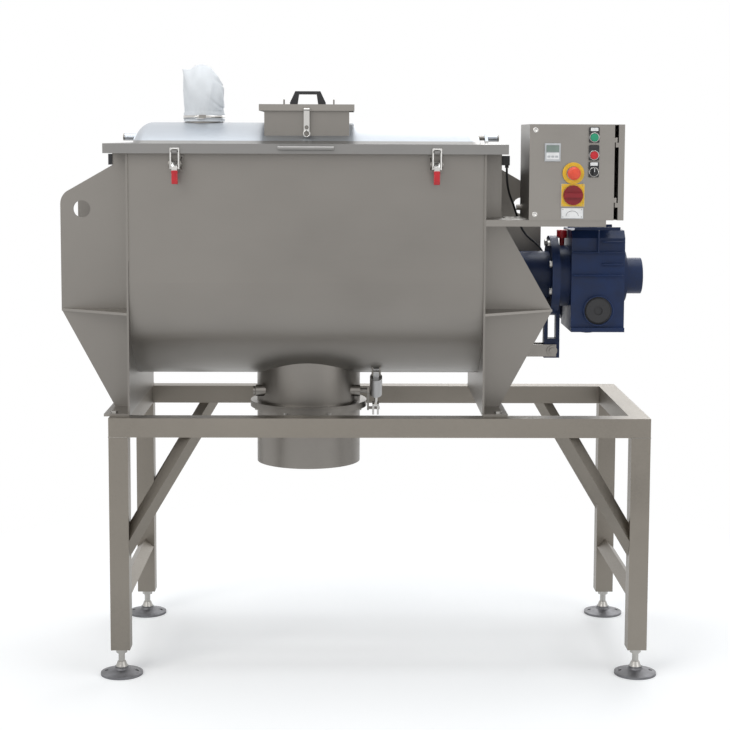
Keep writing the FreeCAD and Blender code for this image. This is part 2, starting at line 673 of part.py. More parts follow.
def agitator():
    """The outer ribbons carry to the middle and the inner ribbons to the ends, each side mirrored."""
    outer = d.trough_radius - d.ribbon_gap
    about_x = Vector(1, 0, 0)
    ends = [(TANK_LEFT + d.end_wall + d.end_gap, 1, ALONG["X"]),
            (TANK_RIGHT - d.end_wall - d.end_gap, -1,
             Rotation(about_x, 180).multiply(Rotation(Vector(0, 1, 0), -90)))]
    outer_bands, inner_bands, spokes = [], [], []
    for start, way, along in ends:
        at = (start, 0, d.shaft_level)
        quarter = Rotation(about_x, 90).multiply(along)
        outer_bands.append(helix_band(f"outer_band{way}", outer, d.ribbon_width, way < 0, at, along))
        inner_bands.append(helix_band(f"inner_band{way}", d.inner_reach, d.inner_width, way > 0, at,
                                      quarter))
        for station in range(5):
            share = 0.03 + 0.235 * station
            x = start + way * (d.ribbon_wall / 2 + share * (HALF_SPAN - d.ribbon_wall))
            for tip, angle in ((outer - d.ribbon_width, 360 * share),
                               (d.inner_reach - d.inner_width, 90 - 360 * share)):
                aim = Vector(0, math.sin(math.radians(angle)), -math.cos(math.radians(angle)))
                foot = (x, d.shaft_radius * aim.y, d.shaft_level + d.shaft_radius * aim.z)
                length = tip - d.shaft_radius - 0.8
                spokes.append(bar(f"spoke{len(spokes)}", d.spoke_radius, length, foot,
                                  Rotation(Vector(0, 0, 1), aim)))
    node(group("outer_bands", *outer_bands), "outer_ribbons")
    node(group("inner_bands", *inner_bands), "inner_ribbons")
    node(group("spokes", *spokes), "agitator_spokes")

    start = TANK_LEFT - d.seal_length - d.bearing_wall - d.bearing_length - 8
    step1 = TANK_LEFT + d.end_wall + 1 - start
    step2 = TANK_RIGHT - d.end_wall - 1 - start
    end = d.cap_end - 22 - start
    profile = [(0, 0), (d.journal_radius, 0), (d.journal_radius, step1), (d.shaft_radius, step1),
               (d.shaft_radius, step2), (d.drive_radius, step2), (d.drive_radius, end), (0, end)]
    node(turned("shaft_turned", profile, (start, 0, d.shaft_level), ALONG["X"]), "agitator_shaft")


def ring(name, outer, inner, length, at, along="X"):
    return cut(name, bar(f"{name}_outer", outer, length, at, along),
               bar(f"{name}_bore", inner, length, at, along))


def polar(count, radius, first=0):
    """Offsets of equally spaced points on a circle, as (across, up)."""
    for k in range(count):
        angle = math.radians(first + 360 * k / count)
        yield radius * math.cos(angle), radius * math.sin(angle)


def seals():
    circle = d.seal_radius - 14
    seals, bolts = [], []
    for side, radius in ((-1, d.journal_radius), (1, d.drive_radius)):
        start = TANK_LEFT - d.seal_length if side < 0 else TANK_RIGHT
        housing = ring(f"seal{side}", d.seal_radius, radius + d.running_gap, d.seal_length,
                       (start, 0, d.shaft_level))
        holes = [bar(f"seal{side}_hole{k}", d.bolt_radius, d.seal_length, (start, u, d.shaft_level + v),
                     "X")
                 for k, (u, v) in enumerate(polar(4, circle, 45))]
        seals.append(cut(f"seal_housing{side}", housing, *holes))
        head = start + d.seal_length if side > 0 else start
        if side > 0:
            bolts += [bolt(f"seal_bolt{side}_{k}", d.seal_length, (head, u, d.shaft_level + v), BACKWARD)
                      for k, (u, v) in enumerate(polar(4, circle, 45))]
    node(group("seals", *seals), "shaft_seals")

    face = TANK_LEFT - d.seal_length
    half = d.bearing_flange / 2
    flange = plate("bearing_flange", "YZ", rectangle(-half, -half, half, half), d.bearing_wall,
                   (face - d.bearing_wall, 0, d.shaft_level))
    boss = taper("bearing_boss", d.bearing_radius - 3, d.bearing_radius + 3, d.bearing_length,
                 (face - d.bearing_wall - d.bearing_length, 0, d.shaft_level), "X")
    bore = bar("bearing_bore", d.journal_radius + d.running_gap, d.bearing_wall + d.bearing_length,
               (face - d.bearing_wall - d.bearing_length, 0, d.shaft_level), "X")
    holes, screws = [], []
    for k, (u, v) in enumerate(polar(4, circle, 45)):
        at = (face - d.bearing_wall, u, d.shaft_level + v)
        holes.append(bar(f"bearing_hole{k}", d.bolt_radius, d.bearing_wall, at, "X"))
        screws.append(bolt(f"bearing_bolt{k}", d.bearing_wall + d.seal_length, at, "X"))
    node(cut("bearing", join("bearing_casting", flange, boss), bore, *holes), "bearing_housing")
    return bolts + screws


# ---------------------------------------------------------------- lid, feed port and breather
def arch(name, length, depth, rise, fillet, at):
    """A shallow barrel roof along X with rounded ends."""
    body = doc.addObject("PartDesign::Body", name)
    centre = rise - (depth * depth + rise * rise) / (2 * rise)
    corners = [(depth, 0), (0, rise, 0, centre, 1), (-depth, 0, 0, centre, 1)]
    sketch = sketch_on(body, "YZ_Plane", f"{name}_arc", corners)
    pad = body.newObject("PartDesign::Pad", f"{name}_pad")
    pad.Profile = sketch
    bind(pad, "Length", length)
    doc.recompute()
    edges = [f"Edge{k}" for k, edge in enumerate(pad.Shape.Edges, start=1)
             if edge.Curve.TypeId == "Part::GeomCircle"]
    rounding = body.newObject("PartDesign::Fillet", f"{name}_round")
    rounding.Base = (pad, edges)
    bind(rounding, "Radius", fillet)
    return place(body, at)


def lid():
    length = d.tank_length + 2 * d.lid_overhang
    x0 = d.tank_x - length / 2
    frame = block("lid_frame_outer", length, 2 * d.lid_front, d.lid_height, (x0, -d.lid_front, d.lid_level))
    hollow = block("lid_frame_hollow", length - 2 * d.lid_wall, 2 * (d.lid_front - d.lid_wall),
                   d.lid_height - d.lid_wall, (x0 + d.lid_wall, -d.lid_front + d.lid_wall, d.lid_level))
    dome_x = d.tank_x - DOME_LENGTH / 2
    dome = arch("dome_outer", DOME_LENGTH, d.dome_depth, d.dome_rise, d.dome_round, (dome_x, 0, LID_TOP))
    inside = arch("dome_inner", DOME_LENGTH - 2 * d.lid_wall, d.dome_depth - d.lid_wall,
                  d.dome_rise - d.lid_wall, d.dome_round - d.lid_wall, (dome_x + d.lid_wall, 0, LID_TOP))
    below = block("dome_opening", DOME_LENGTH - 2 * d.lid_wall, 2 * (d.dome_depth - d.lid_wall),
                  d.lid_wall, (dome_x + d.lid_wall, -d.dome_depth + d.lid_wall, LID_TOP - d.lid_wall))
    port = block("port_opening", d.port_length - 2 * d.lid_wall, d.port_depth - 2 * d.lid_wall,
                 d.dome_rise * 2,
                 (d.tank_x - d.port_length / 2 + d.lid_wall, -d.port_front + d.lid_wall, LID_TOP))
    collar_x = d.tank_x + d.collar_x
    vent = bar("vent_opening", d.collar_radius - d.lid_wall, d.dome_rise * 2, (collar_x, 0, LID_TOP))
    arms, lugs = [], []
    axis_y, axis_z = d.lid_hinge_y, d.lid_hinge_z
    barrel = d.hinge_pin + 4
    for side in (-1, 1):
        x = d.tank_x + side * d.lid_hinge_x
        outline = [(d.lid_front - 34, LID_TOP), (d.lid_front, LID_TOP), (axis_y + barrel, axis_z - 6),
                   (axis_y + barrel, axis_z + 6), (axis_y + 6, axis_z + barrel),
                   (axis_y - 8, axis_z + barrel)]
        ear = plate(f"lid_arm{side}", "YZ", outline, 10, (x - 5, 0, 0))
        tube = bar(f"lid_barrel{side}", barrel, 40, (x + side * 20 - 20, axis_y, axis_z), "X")
        bore = bar(f"lid_bore{side}", d.hinge_pin + d.running_gap, 60,
                   (x + side * 15 - 30, axis_y, axis_z), "X")
        arms.append(cut(f"lid_hinge{side}", join(f"lid_knuckle{side}", ear, tube), bore))
        hanger = block(f"spring_hanger{side}", 6, 30, LID_TOP - d.lid_wall - d.spring_top_z + 12,
                       (x - side * 3 - 3, d.spring_top_y - 15, d.spring_top_z - 12))
        arms.append(hanger)
    skin = cut("lid_skin", join("lid_outer", frame, dome), hollow, inside, below, port, vent)
    reach = (d.tank_length / 2 + 4, END_DEPTH + 4)
    channel = block("channel_outer", 2 * reach[0], 2 * reach[1],
                    LID_TOP - d.lid_wall - d.tank_top - d.gasket_height,
                    (d.tank_x - reach[0], -reach[1], d.tank_top + d.gasket_height))
    throat = block("channel_inner", 2 * reach[0] - 48, 2 * reach[1] - 48, d.lid_height,
                   (d.tank_x - reach[0] + 24, -reach[1] + 24, d.tank_top + d.gasket_height))
    grab = [bar("grab_bar", 6, d.grab_length, (d.tank_x - d.grab_length / 2, -d.lid_front - 24,
                                               d.lid_level + 17), "X")]
    for side in (-1, 1):
        x = d.tank_x + side * (d.grab_length / 2 - 12)
        grab.append(bar(f"grab_post{side}", 5, 25, (x, -d.lid_front - 24, d.lid_level + 17), "Y"))
    for side in (-1, 1):
        x = d.tank_x + side * d.clamp_x
        tab = [(-d.lid_front, d.lid_level + 4), (-d.lid_front, d.lid_level + 8),
               (-d.lid_front - 16, d.lid_level + 8),
               (-d.lid_front - 16, d.lid_level + 10), (-d.lid_front - 18, d.lid_level + 10),
               (-d.lid_front - 18, d.lid_level + 4)]
        lugs.append(plate(f"keeper{side}", "YZ", tab, 16, (x - 8, 0, 0)))
        lugs.append(block(f"keeper_plate{side}", 26, 2.5, 26,
                          (x - 13, -d.lid_front - 2.5, d.lid_level + 2)))
    ring_bar = cut("gasket_channel", channel, throat)
    node(join("lid_welded", skin, ring_bar, *arms, *grab, *lugs), "lid_shell")

    gasket = block("gasket_outer", 2 * reach[0], 2 * reach[1], d.gasket_height,
                   (d.tank_x - reach[0], -reach[1], d.tank_top))
    opening = block("gasket_inner", 2 * reach[0] - 48, 2 * reach[1] - 48, d.gasket_height,
                    (d.tank_x - reach[0] + 24, -reach[1] + 24, d.tank_top))
    node(cut("gasket", gasket, opening), "lid_gasket")

    # feed port: a square chimney that stands on the dome
    x0 = d.tank_x - d.port_length / 2
    top = d.port_top - LID_TOP
    chimney = block("chimney_outer", d.port_length, d.port_depth, top, (x0, -d.port_front, LID_TOP))
    lip = block("chimney_lip", d.port_length + 8, d.port_depth + 8, 6,
                (x0 - 4, -d.port_front - 4, d.port_top - 10))
    bore = block("chimney_bore", d.port_length - 2 * d.lid_wall, d.port_depth - 2 * d.lid_wall, top,
                 (x0 + d.lid_wall, -d.port_front + d.lid_wall, LID_TOP))
    under = arch("chimney_seat", DOME_LENGTH, d.dome_depth, d.dome_rise, d.dome_round, (dome_x, 0, LID_TOP))
    stud = bar("latch_stud", 4, 32, (d.tank_x, -d.port_front - 32, d.port_top - 68), "Y")
    hinges = []
    for side in (-1, 1):
        x = d.tank_x + side * d.port_length * 0.3
        y, z = PORT_BACK + 26, PORT_AXIS
        outline = [(PORT_BACK, z - 48), (y - 6, z - 48), (y + 8, z - 26), (y + 8, z + 4), (y + 4, z + 8),
                   (y - 4, z + 8), (y - 4, z - 12), (PORT_BACK, z - 36)]
        hinges.append(plate(f"port_hinge{side}", "YZ", outline, 6, (x, 0, 0)))
        hinges.append(bar(f"port_pin{side}", 4, 16, (x, y, z), "X"))
    node(cut("feed_chimney", join("chimney_welded", chimney, lip, stud, *hinges), bore, under), "feed_port")

    collar = ring("breather_pipe", d.collar_radius, d.collar_radius - d.lid_wall, d.collar_top - LID_TOP,
                  (collar_x, 0, LID_TOP), "Z")
    seat = arch("collar_seat", DOME_LENGTH, d.dome_depth, d.dome_rise, d.dome_round, (dome_x, 0, LID_TOP))
    trimmed = cut("breather_trim", collar, seat)
    band = ring("hose_band", d.collar_radius + 3, d.collar_radius, 14, (collar_x, 0, d.collar_top - 20),
                "Z")
    screw = block("band_screw", 22, 10, 10, (collar_x - 11, -d.collar_radius - 12, d.collar_top - 18))
    node(group("breather", trimmed, join("band", band, screw)), "bag_collar")
    foot = d.collar_top
    bag_rise = d.bag_top - foot
    profile = [(0, 0), (d.collar_radius, 0), (d.collar_radius + 6, bag_rise * 0.4),
               (d.collar_radius, bag_rise * 0.72),
               (d.collar_radius - 30, bag_rise * 0.95), (0, bag_rise)]
    node(turned("bag", profile, (collar_x, 0, foot)), "dust_bag")


def port_lid():
    margin = d.port_lid_margin
    low = d.port_top + d.lid_wall - d.port_lid_height
    x0 = d.tank_x - d.port_length / 2 - margin
    y0 = -d.port_front - margin
    wide = d.port_length + 2 * margin
    deep = d.port_depth + 2 * margin
    cover = block("port_cover_outer", wide, deep, d.port_lid_height, (x0, y0, low))
    hollow = block("port_cover_hollow", wide - 2 * d.lid_wall, deep - 2 * d.lid_wall, d.port_top - low,
                   (x0 + d.lid_wall, y0 + d.lid_wall, low))
    leaves = []
    y, z = PORT_BACK + 26, PORT_AXIS
    top = d.port_top + d.lid_wall
    for side in (-1, 1):
        x = d.tank_x + side * d.port_length * 0.3
        outline = [(y - 60, top), (y - 10, top), (y - 9, z), (y - 4, z - 8), (y + 4, z - 8), (y + 9, z - 2),
                   (y + 9, z + 4), (y - 6, top + 4), (y - 60, top + 4)]
        leaves.append(plate(f"port_leaf{side}", "YZ", outline, 6, (x + 7, 0, 0),
                            [(y, z, 4 + d.running_gap)]))
    axis_y, axis_z = y0 - 5, low + 4
    ears = [block(f"latch_ear{k}", 3, 9, 9, (d.tank_x + k * 11 - 1.5, y0 - 9, low)) for k in (-1, 1)]
    pin = bar("latch_pin", 2, 26, (d.tank_x - 13, axis_y, axis_z), "X")
    node(join("port_cover", cut("port_cover_shell", cover, hollow), pin, *ears, *leaves), "port_lid")

    half, grip = 57, 40
    y = d.port_depth / 2 - d.port_front
    outline = [(-half, 0), (-half + 24, 0), (-grip + 12, 34), (grip - 12, 34), (half - 24, 0), (half, 0),
               (half, 8), (grip, 44), (-grip, 44), (-half, 8)]
    node(plate("bow_handle", "XZ", outline, 26, (d.tank_x, y + 13, top)), "port_handle")

    strap = block("latch_strap", 18, 3, 62, (d.tank_x - 9, axis_y - 1.5, axis_z - 66))
    hub = bar("latch_hub", 4, 18, (d.tank_x - 9, axis_y, axis_z), "X")
    bore = bar("latch_bore", 2 + d.running_gap, 20, (d.tank_x - 10, axis_y, axis_z), "X")
    window = bar("latch_window", 6, 10, (d.tank_x, axis_y - 5, d.port_top - 68), "Y")
    pull = doc.addObject("Part::Torus", "latch_ring")
    bind(pull, "Radius1", 9.5)
    bind(pull, "Radius2", 2)
    place(pull, (d.tank_x, axis_y - 0.5, axis_z - 74.5), Rotation(Vector(1, 0, 0), 90))
    node(join("latch", cut("latch_plate", join("latch_blank", strap, hub), bore, window), pull),
         "port_latch")


# ---------------------------------------------------------------- what holds and moves the lid
def lid_holders():
    """Hinge brackets with their pins, gas spring studs and clamp bases, all on the tank."""
    brackets = []
    for side in (-1, 1):
        y, z = d.lid_hinge_y, d.lid_hinge_z
        outline = [(270, z - 144), (340, z - 144), (y + 20, z - 72), (y + 20, z + 16), (y - 16, z + 16),
                   (y - 16, z - 52), (270, z - 52)]
        x = end_face(side) if side > 0 else end_face(side) - d.gusset_wall
        web = plate(f"hinge_bracket{side}", "YZ", outline, d.gusset_wall, (x, 0, 0))
        reach = d.lid_hinge_x + 40.4 - d.tank_length / 2
        x = end_face(side) if side > 0 else end_face(side) - reach
        pin = bar(f"hinge_pin{side}", d.hinge_pin, reach, (x, y, z), "X")
        head = bar(f"hinge_head{side}", d.hinge_pin + 4, 5, (x + reach if side > 0 else x - 5, y, z), "X")
        stud_x = end_face(side) if side > 0 else end_face(side) - 42
        stud = bar(f"spring_stud{side}", 5, 42, (stud_x, d.spring_low_y, d.spring_low_z), "X")
        seat_x = end_face(side) if side > 0 else end_face(side) - 17
        seat = bar(f"spring_seat{side}", 12, 17, (seat_x, d.spring_low_y, d.spring_low_z), "X")
        brackets += [join(f"hinge_unit{side}", web, pin, head), join(f"spring_mount{side}", stud, seat)]
    node(group("lid_hinges", *brackets), "hinge_brackets")

    bases = []
    wall = d.trough_radius + d.trough_wall
    for side in (-1, 1):
        x = d.tank_x + side * d.clamp_x
        back = block(f"clamp_back{side}", 46, 6, 52, (x - 23, -wall - 6, d.clamp_z - 26))
        outline = [(-wall, d.clamp_z - 20), (-d.clamp_y - 5, d.clamp_z - 8), (-d.clamp_y - 8, d.clamp_z),
                   (-d.clamp_y - 5, d.clamp_z + 8), (-wall, d.clamp_z + 22)]
        cheeks = [plate(f"clamp_cheek{side}{k}", "YZ", outline, 3, (x + (16 if k > 0 else -19), 0, 0),
                        [(-d.clamp_y, d.clamp_z, 3 + d.running_gap)]) for k in (-1, 1)]
        bases.append(join(f"clamp_base{side}", back, *cheeks))
    node(group("clamps", *bases), "clamp_bases")


def clamps():
    for side, label in ((-1, "left"), (1, "right")):
        x = d.tank_x + side * d.clamp_x
        y, z = -d.clamp_y, d.clamp_z
        yoke = [(y + 8, z + 4), (y + 2, z + 8), (y - 6, z + 5), (y - 18, z - 8), (y - 20, z - 16),
                (y - 4, z - 16)]
        top = plate(f"lever_yoke_{label}", "YZ", yoke, 17, (x - 8.5, 0, 0))
        grip = [(y - 4, z - 16), (y - 20, z - 16), (y - 16, z - 52), (y - 11, z - 61), (y - 3, z - 60),
                (y + 1, z - 40)]
        handle = plate(f"lever_grip_{label}", "YZ", grip, 17, (x - 8.5, 0, 0))
        pin = bar(f"lever_pin_{label}", 3, 40, (x - 20, y, z), "X")
        bore = bar(f"lever_bore_{label}", d.bail_radius + d.running_gap, 17, (x - 8.5, y - 12, z - 13), "X")
        node(cut(f"lever_{label}", join(f"lever_solid_{label}", top, handle, pin), bore),
             f"clamp_lever_{label}")

        low, rise = z - 13, 58
        legs = [bar(f"bail_leg{k}_{label}", d.bail_radius, rise + 2 * d.bail_radius + 1,
                    (x + k * d.bail_half, y - 12, low - d.bail_radius - 0.5)) for k in (-1, 1)]
        rungs = [bar(f"bail_rung{k}_{label}", d.bail_radius, 2 * d.bail_half,
                     (x - d.bail_half, y - 12, low + k), "X")
                 for k in (0, rise)]
        node(join(f"bail_{label}", *legs, *rungs), f"clamp_bail_{label}")


def gas_springs():
    aim = Vector(0, (d.spring_top_y - d.spring_low_y).value, (d.spring_top_z - d.spring_low_z).value)
    turn = Rotation(Vector(0, 0, 1), aim)
    cylinders, rods = [], []
    for side in (-1, 1):
        x = end_face(side) + side * d.spring_x
        at = (x, d.spring_low_y, d.spring_low_z)
        body = bar(f"gas_body{side}", 11, 231, (0, 0, 9))
        bore = bar(f"gas_bore{side}", 4 + d.running_gap, 210, (0, 0, 35))
        chamber = bar(f"gas_chamber{side}", 8, 200, (0, 0, 30))
        eye = bar(f"gas_eye{side}", 11, 20, (-10, 0, 0), "X")
        hole = bar(f"gas_hole{side}", 5 + d.running_gap, 22, (-11, 0, 0), "X")
        cylinder = cut(f"gas_cylinder{side}", join(f"gas_outer{side}", body, eye), bore, chamber, hole)
        cylinders.append(place(cylinder, at, turn))
        rod = bar(f"gas_stem{side}", 4, 223, (0, 0, 33))
        piston = bar(f"gas_piston{side}", 8 - d.running_gap, 8, (0, 0, 33))
        top = bar(f"gas_top{side}", 10, 20, (-10, 0, 265), "X")
        rods.append(place(join(f"gas_rod{side}", rod, piston, top), at, turn))
    node(group("cylinders", *cylinders), "gas_cylinders")
    node(group("rods", *rods), "gas_rods")


# ---------------------------------------------------------------- outlet and its flap valve
def outlet():
    """Outlet pipe under the trough, the spout below its flange, and the flap that closes the trough."""
    x = d.tank_x
    skin = d.trough_radius + d.trough_wall
    pipe = ring("saddle_pipe", d.outlet_radius, d.outlet_radius - d.outlet_wall,
                d.shaft_level - d.flange_level, (x, 0, d.flange_level), "Z")
    flange = ring("upper_flange", d.flange_radius, d.outlet_radius - d.outlet_wall, d.flange_wall,
                  (x, 0, d.flange_level), "Z")
    bosses, holes = [], []
    for side in (-1, 1):
        start = x + 136 if side > 0 else x - 136 - 34
        bosses.append(bar(f"valve_boss{side}", d.boss_radius, 34, (start, VALVE_Y, d.valve_z), "X"))
    bore = bar("valve_bore", d.valve_radius + d.running_gap, 400, (x - 200, VALVE_Y, d.valve_z), "X")
    circle = (d.outlet_radius + d.flange_radius) / 2
    bolts, spout_holes = [], []
    for k, (u, v) in enumerate(polar(8, 1, 22.5)):
        at = (x + u * circle, v * circle)
        holes.append(bar(f"upper_hole{k}", 4, d.flange_wall, (*at, d.flange_level), "Z"))
        spout_holes.append(bar(f"lower_hole{k}", 4, d.flange_wall, (*at, d.flange_level - d.flange_wall),
                               "Z"))
        bolts.append(bolt(f"outlet_bolt{k}", 2 * d.flange_wall, (*at, d.flange_level - d.flange_wall), "Z",
                          size(4), size(13), size(6)))
    round_skin = bar("saddle_cut", skin, d.tank_length, (TANK_LEFT, 0, d.shaft_level), "X")
    node(cut("saddle", join("saddle_welded", pipe, flange, *bosses), round_skin, bore, *holes),
         "outlet_pipe")

    length = d.flange_level - d.outlet_end
    tube = ring("spout_tube", d.outlet_radius, d.outlet_radius - d.outlet_wall, length,
                (x, 0, d.outlet_end), "Z")
    lower = ring("lower_flange", d.flange_radius, d.outlet_radius - d.outlet_wall, d.flange_wall,
                 (x, 0, d.flange_level - d.flange_wall), "Z")
    node(cut("spout", join("spout_welded", tube, lower), *spout_holes), "outlet_spout")

    sheet = ring("flap_sheet", skin, d.trough_radius, 2 * d.hole_radius,
                 (x - d.hole_radius, 0, d.shaft_level), "X")
    stencil = d_plate("flap_stencil", d.hole_radius - d.flap_gap, d.hole_front - d.flap_gap, d.valve_z,
                      d.shaft_level - d.valve_z)
    blade = common("flap_blade", sheet, stencil)
    arms = []
    low_arc = d.shaft_level - root(skin * skin - 66 * 66)
    far_arc = d.shaft_level - root(skin * skin - 100 * 100)
    for side in (-1, 1):
        outline = [(VALVE_Y - 9, d.valve_z + 6), (-66, low_arc), (100, far_arc, 0, d.shaft_level, 1),
                   (98, far_arc - 12), (VALVE_Y + 9, d.valve_z - 8)]
        arms.append(plate(f"flap_arm{side}", "YZ", outline, 8, (x + side * 60 - 4, 0, 0)))
        arms.append(bar(f"flap_hub{side}", 15, 40, (x + side * 60 - 20, VALVE_Y, d.valve_z), "X"))
    shaft_hole = bar("flap_bore", d.valve_radius, 300, (x - 150, VALVE_Y, d.valve_z), "X")
    node(cut("flap", join("flap_welded", blade, *arms), shaft_hole), "valve_flap")

    left = x - 178
    shaft = bar("valve_rod", d.valve_radius, d.lever_x + 6 + 178, (left, VALVE_Y, d.valve_z), "X")
    outline = [(VALVE_Y - 14, d.valve_z - 4), (VALVE_Y - 8, d.valve_z + 13), (VALVE_Y + 12, d.valve_z + 10),
               (VALVE_Y + d.lever_y + 9, d.valve_z - d.lever_z + 6),
               (VALVE_Y + d.lever_y + 4, d.valve_z - d.lever_z - 9),
               (VALVE_Y + d.lever_y - 8, d.valve_z - d.lever_z - 6)]
    arm = plate("valve_lever", "YZ", outline, 6, (x + d.lever_x, 0, 0))
    pin = bar("valve_pin", 5, d.actuator_x + 13 - d.lever_x,
              (x + d.lever_x, VALVE_Y + d.lever_y, d.valve_z - d.lever_z), "X")
    stop = bar("valve_collar", d.boss_radius - 4, 6, (left, VALVE_Y, d.valve_z), "X")
    node(join("valve_spindle", shaft, arm, pin, stop), "valve_shaft")
    return bolts


def actuator():
    """Air cylinder between a bracket under the trough and the valve lever."""
    x = d.tank_x + d.actuator_x
    at = (x, VALVE_Y - d.mount_y, d.valve_z + d.mount_z)
    run = d.lever_y + d.mount_y
    drop = d.lever_z + d.mount_z
    turn = Rotation(Vector(0, 0, 1), Vector(0, run.value, -drop.value))
    reach = root(run * run + drop * drop)
    tube = bar("air_tube", d.actuator_radius, 76, (0, 0, 18))
    ear = block("air_ear", 18, 16, 20, (-9, -8, 0))
    eye = bar("air_eye", 8, 18, (-9, 0, 0), "X")
    hole = bar("air_hole", 5 + d.running_gap, 20, (-10, 0, 0), "X")
    bore = bar("air_bore", 6 + d.running_gap, 60, (0, 0, 42))
    chamber = bar("air_chamber", d.actuator_radius - 4, 66, (0, 0, 24))
    barrel = cut("air_barrel", join("air_outer", tube, ear, eye), hole, bore, chamber)
    node(place(barrel, at, turn), "cylinder_barrel")

    slot_from = reach - 2
    rod = bar("air_rod", 6, reach - 16 - 66, (0, 0, 66))
    piston = bar("air_piston", d.actuator_radius - 4 - d.running_gap, 12, (0, 0, 66))
    base = block("clevis_base", 22, 16, 8, (-11, -8, reach - 24))
    ears = []
    for k in (-1, 1):
        near = 4.5 if k > 0 else -11
        ears.append(block(f"clevis_ear{k}", 6.5, 18, 40, (near, -9, reach - 17)))
    slot = block("clevis_slot", 24, 12, 13, (-12, -6, slot_from))
    ends = [bar(f"slot_end{k}", 6, 24, (-12, 0, slot_from + k), "X") for k in (0, 13)]
    fork = cut("clevis", join("clevis_welded", rod, piston, base, *ears), slot, *ends)
    node(place(fork, at, turn), "cylinder_rod")

    skin = d.trough_radius + d.trough_wall
    plates = []
    for k in (-1, 1):
        y0, y1 = at[1] - 14, at[1] + 14
        z0 = d.shaft_level - root(skin * skin - y0 * y0)
        z1 = d.shaft_level - root(skin * skin - y1 * y1)
        outline = [(at[1] - 7, at[2] - 9), (at[1] + 7, at[2] - 9), (y1, z1), (y0, z0, 0, d.shaft_level, -1)]
        plates.append(plate(f"air_bracket{k}", "YZ", outline, 4, (x + (10 if k > 0 else -14), 0, 0)))
    pin = bar("air_pin", 5, 30, (x - 15, at[1], at[2]), "X")
    return join("air_bracket", *plates, pin)


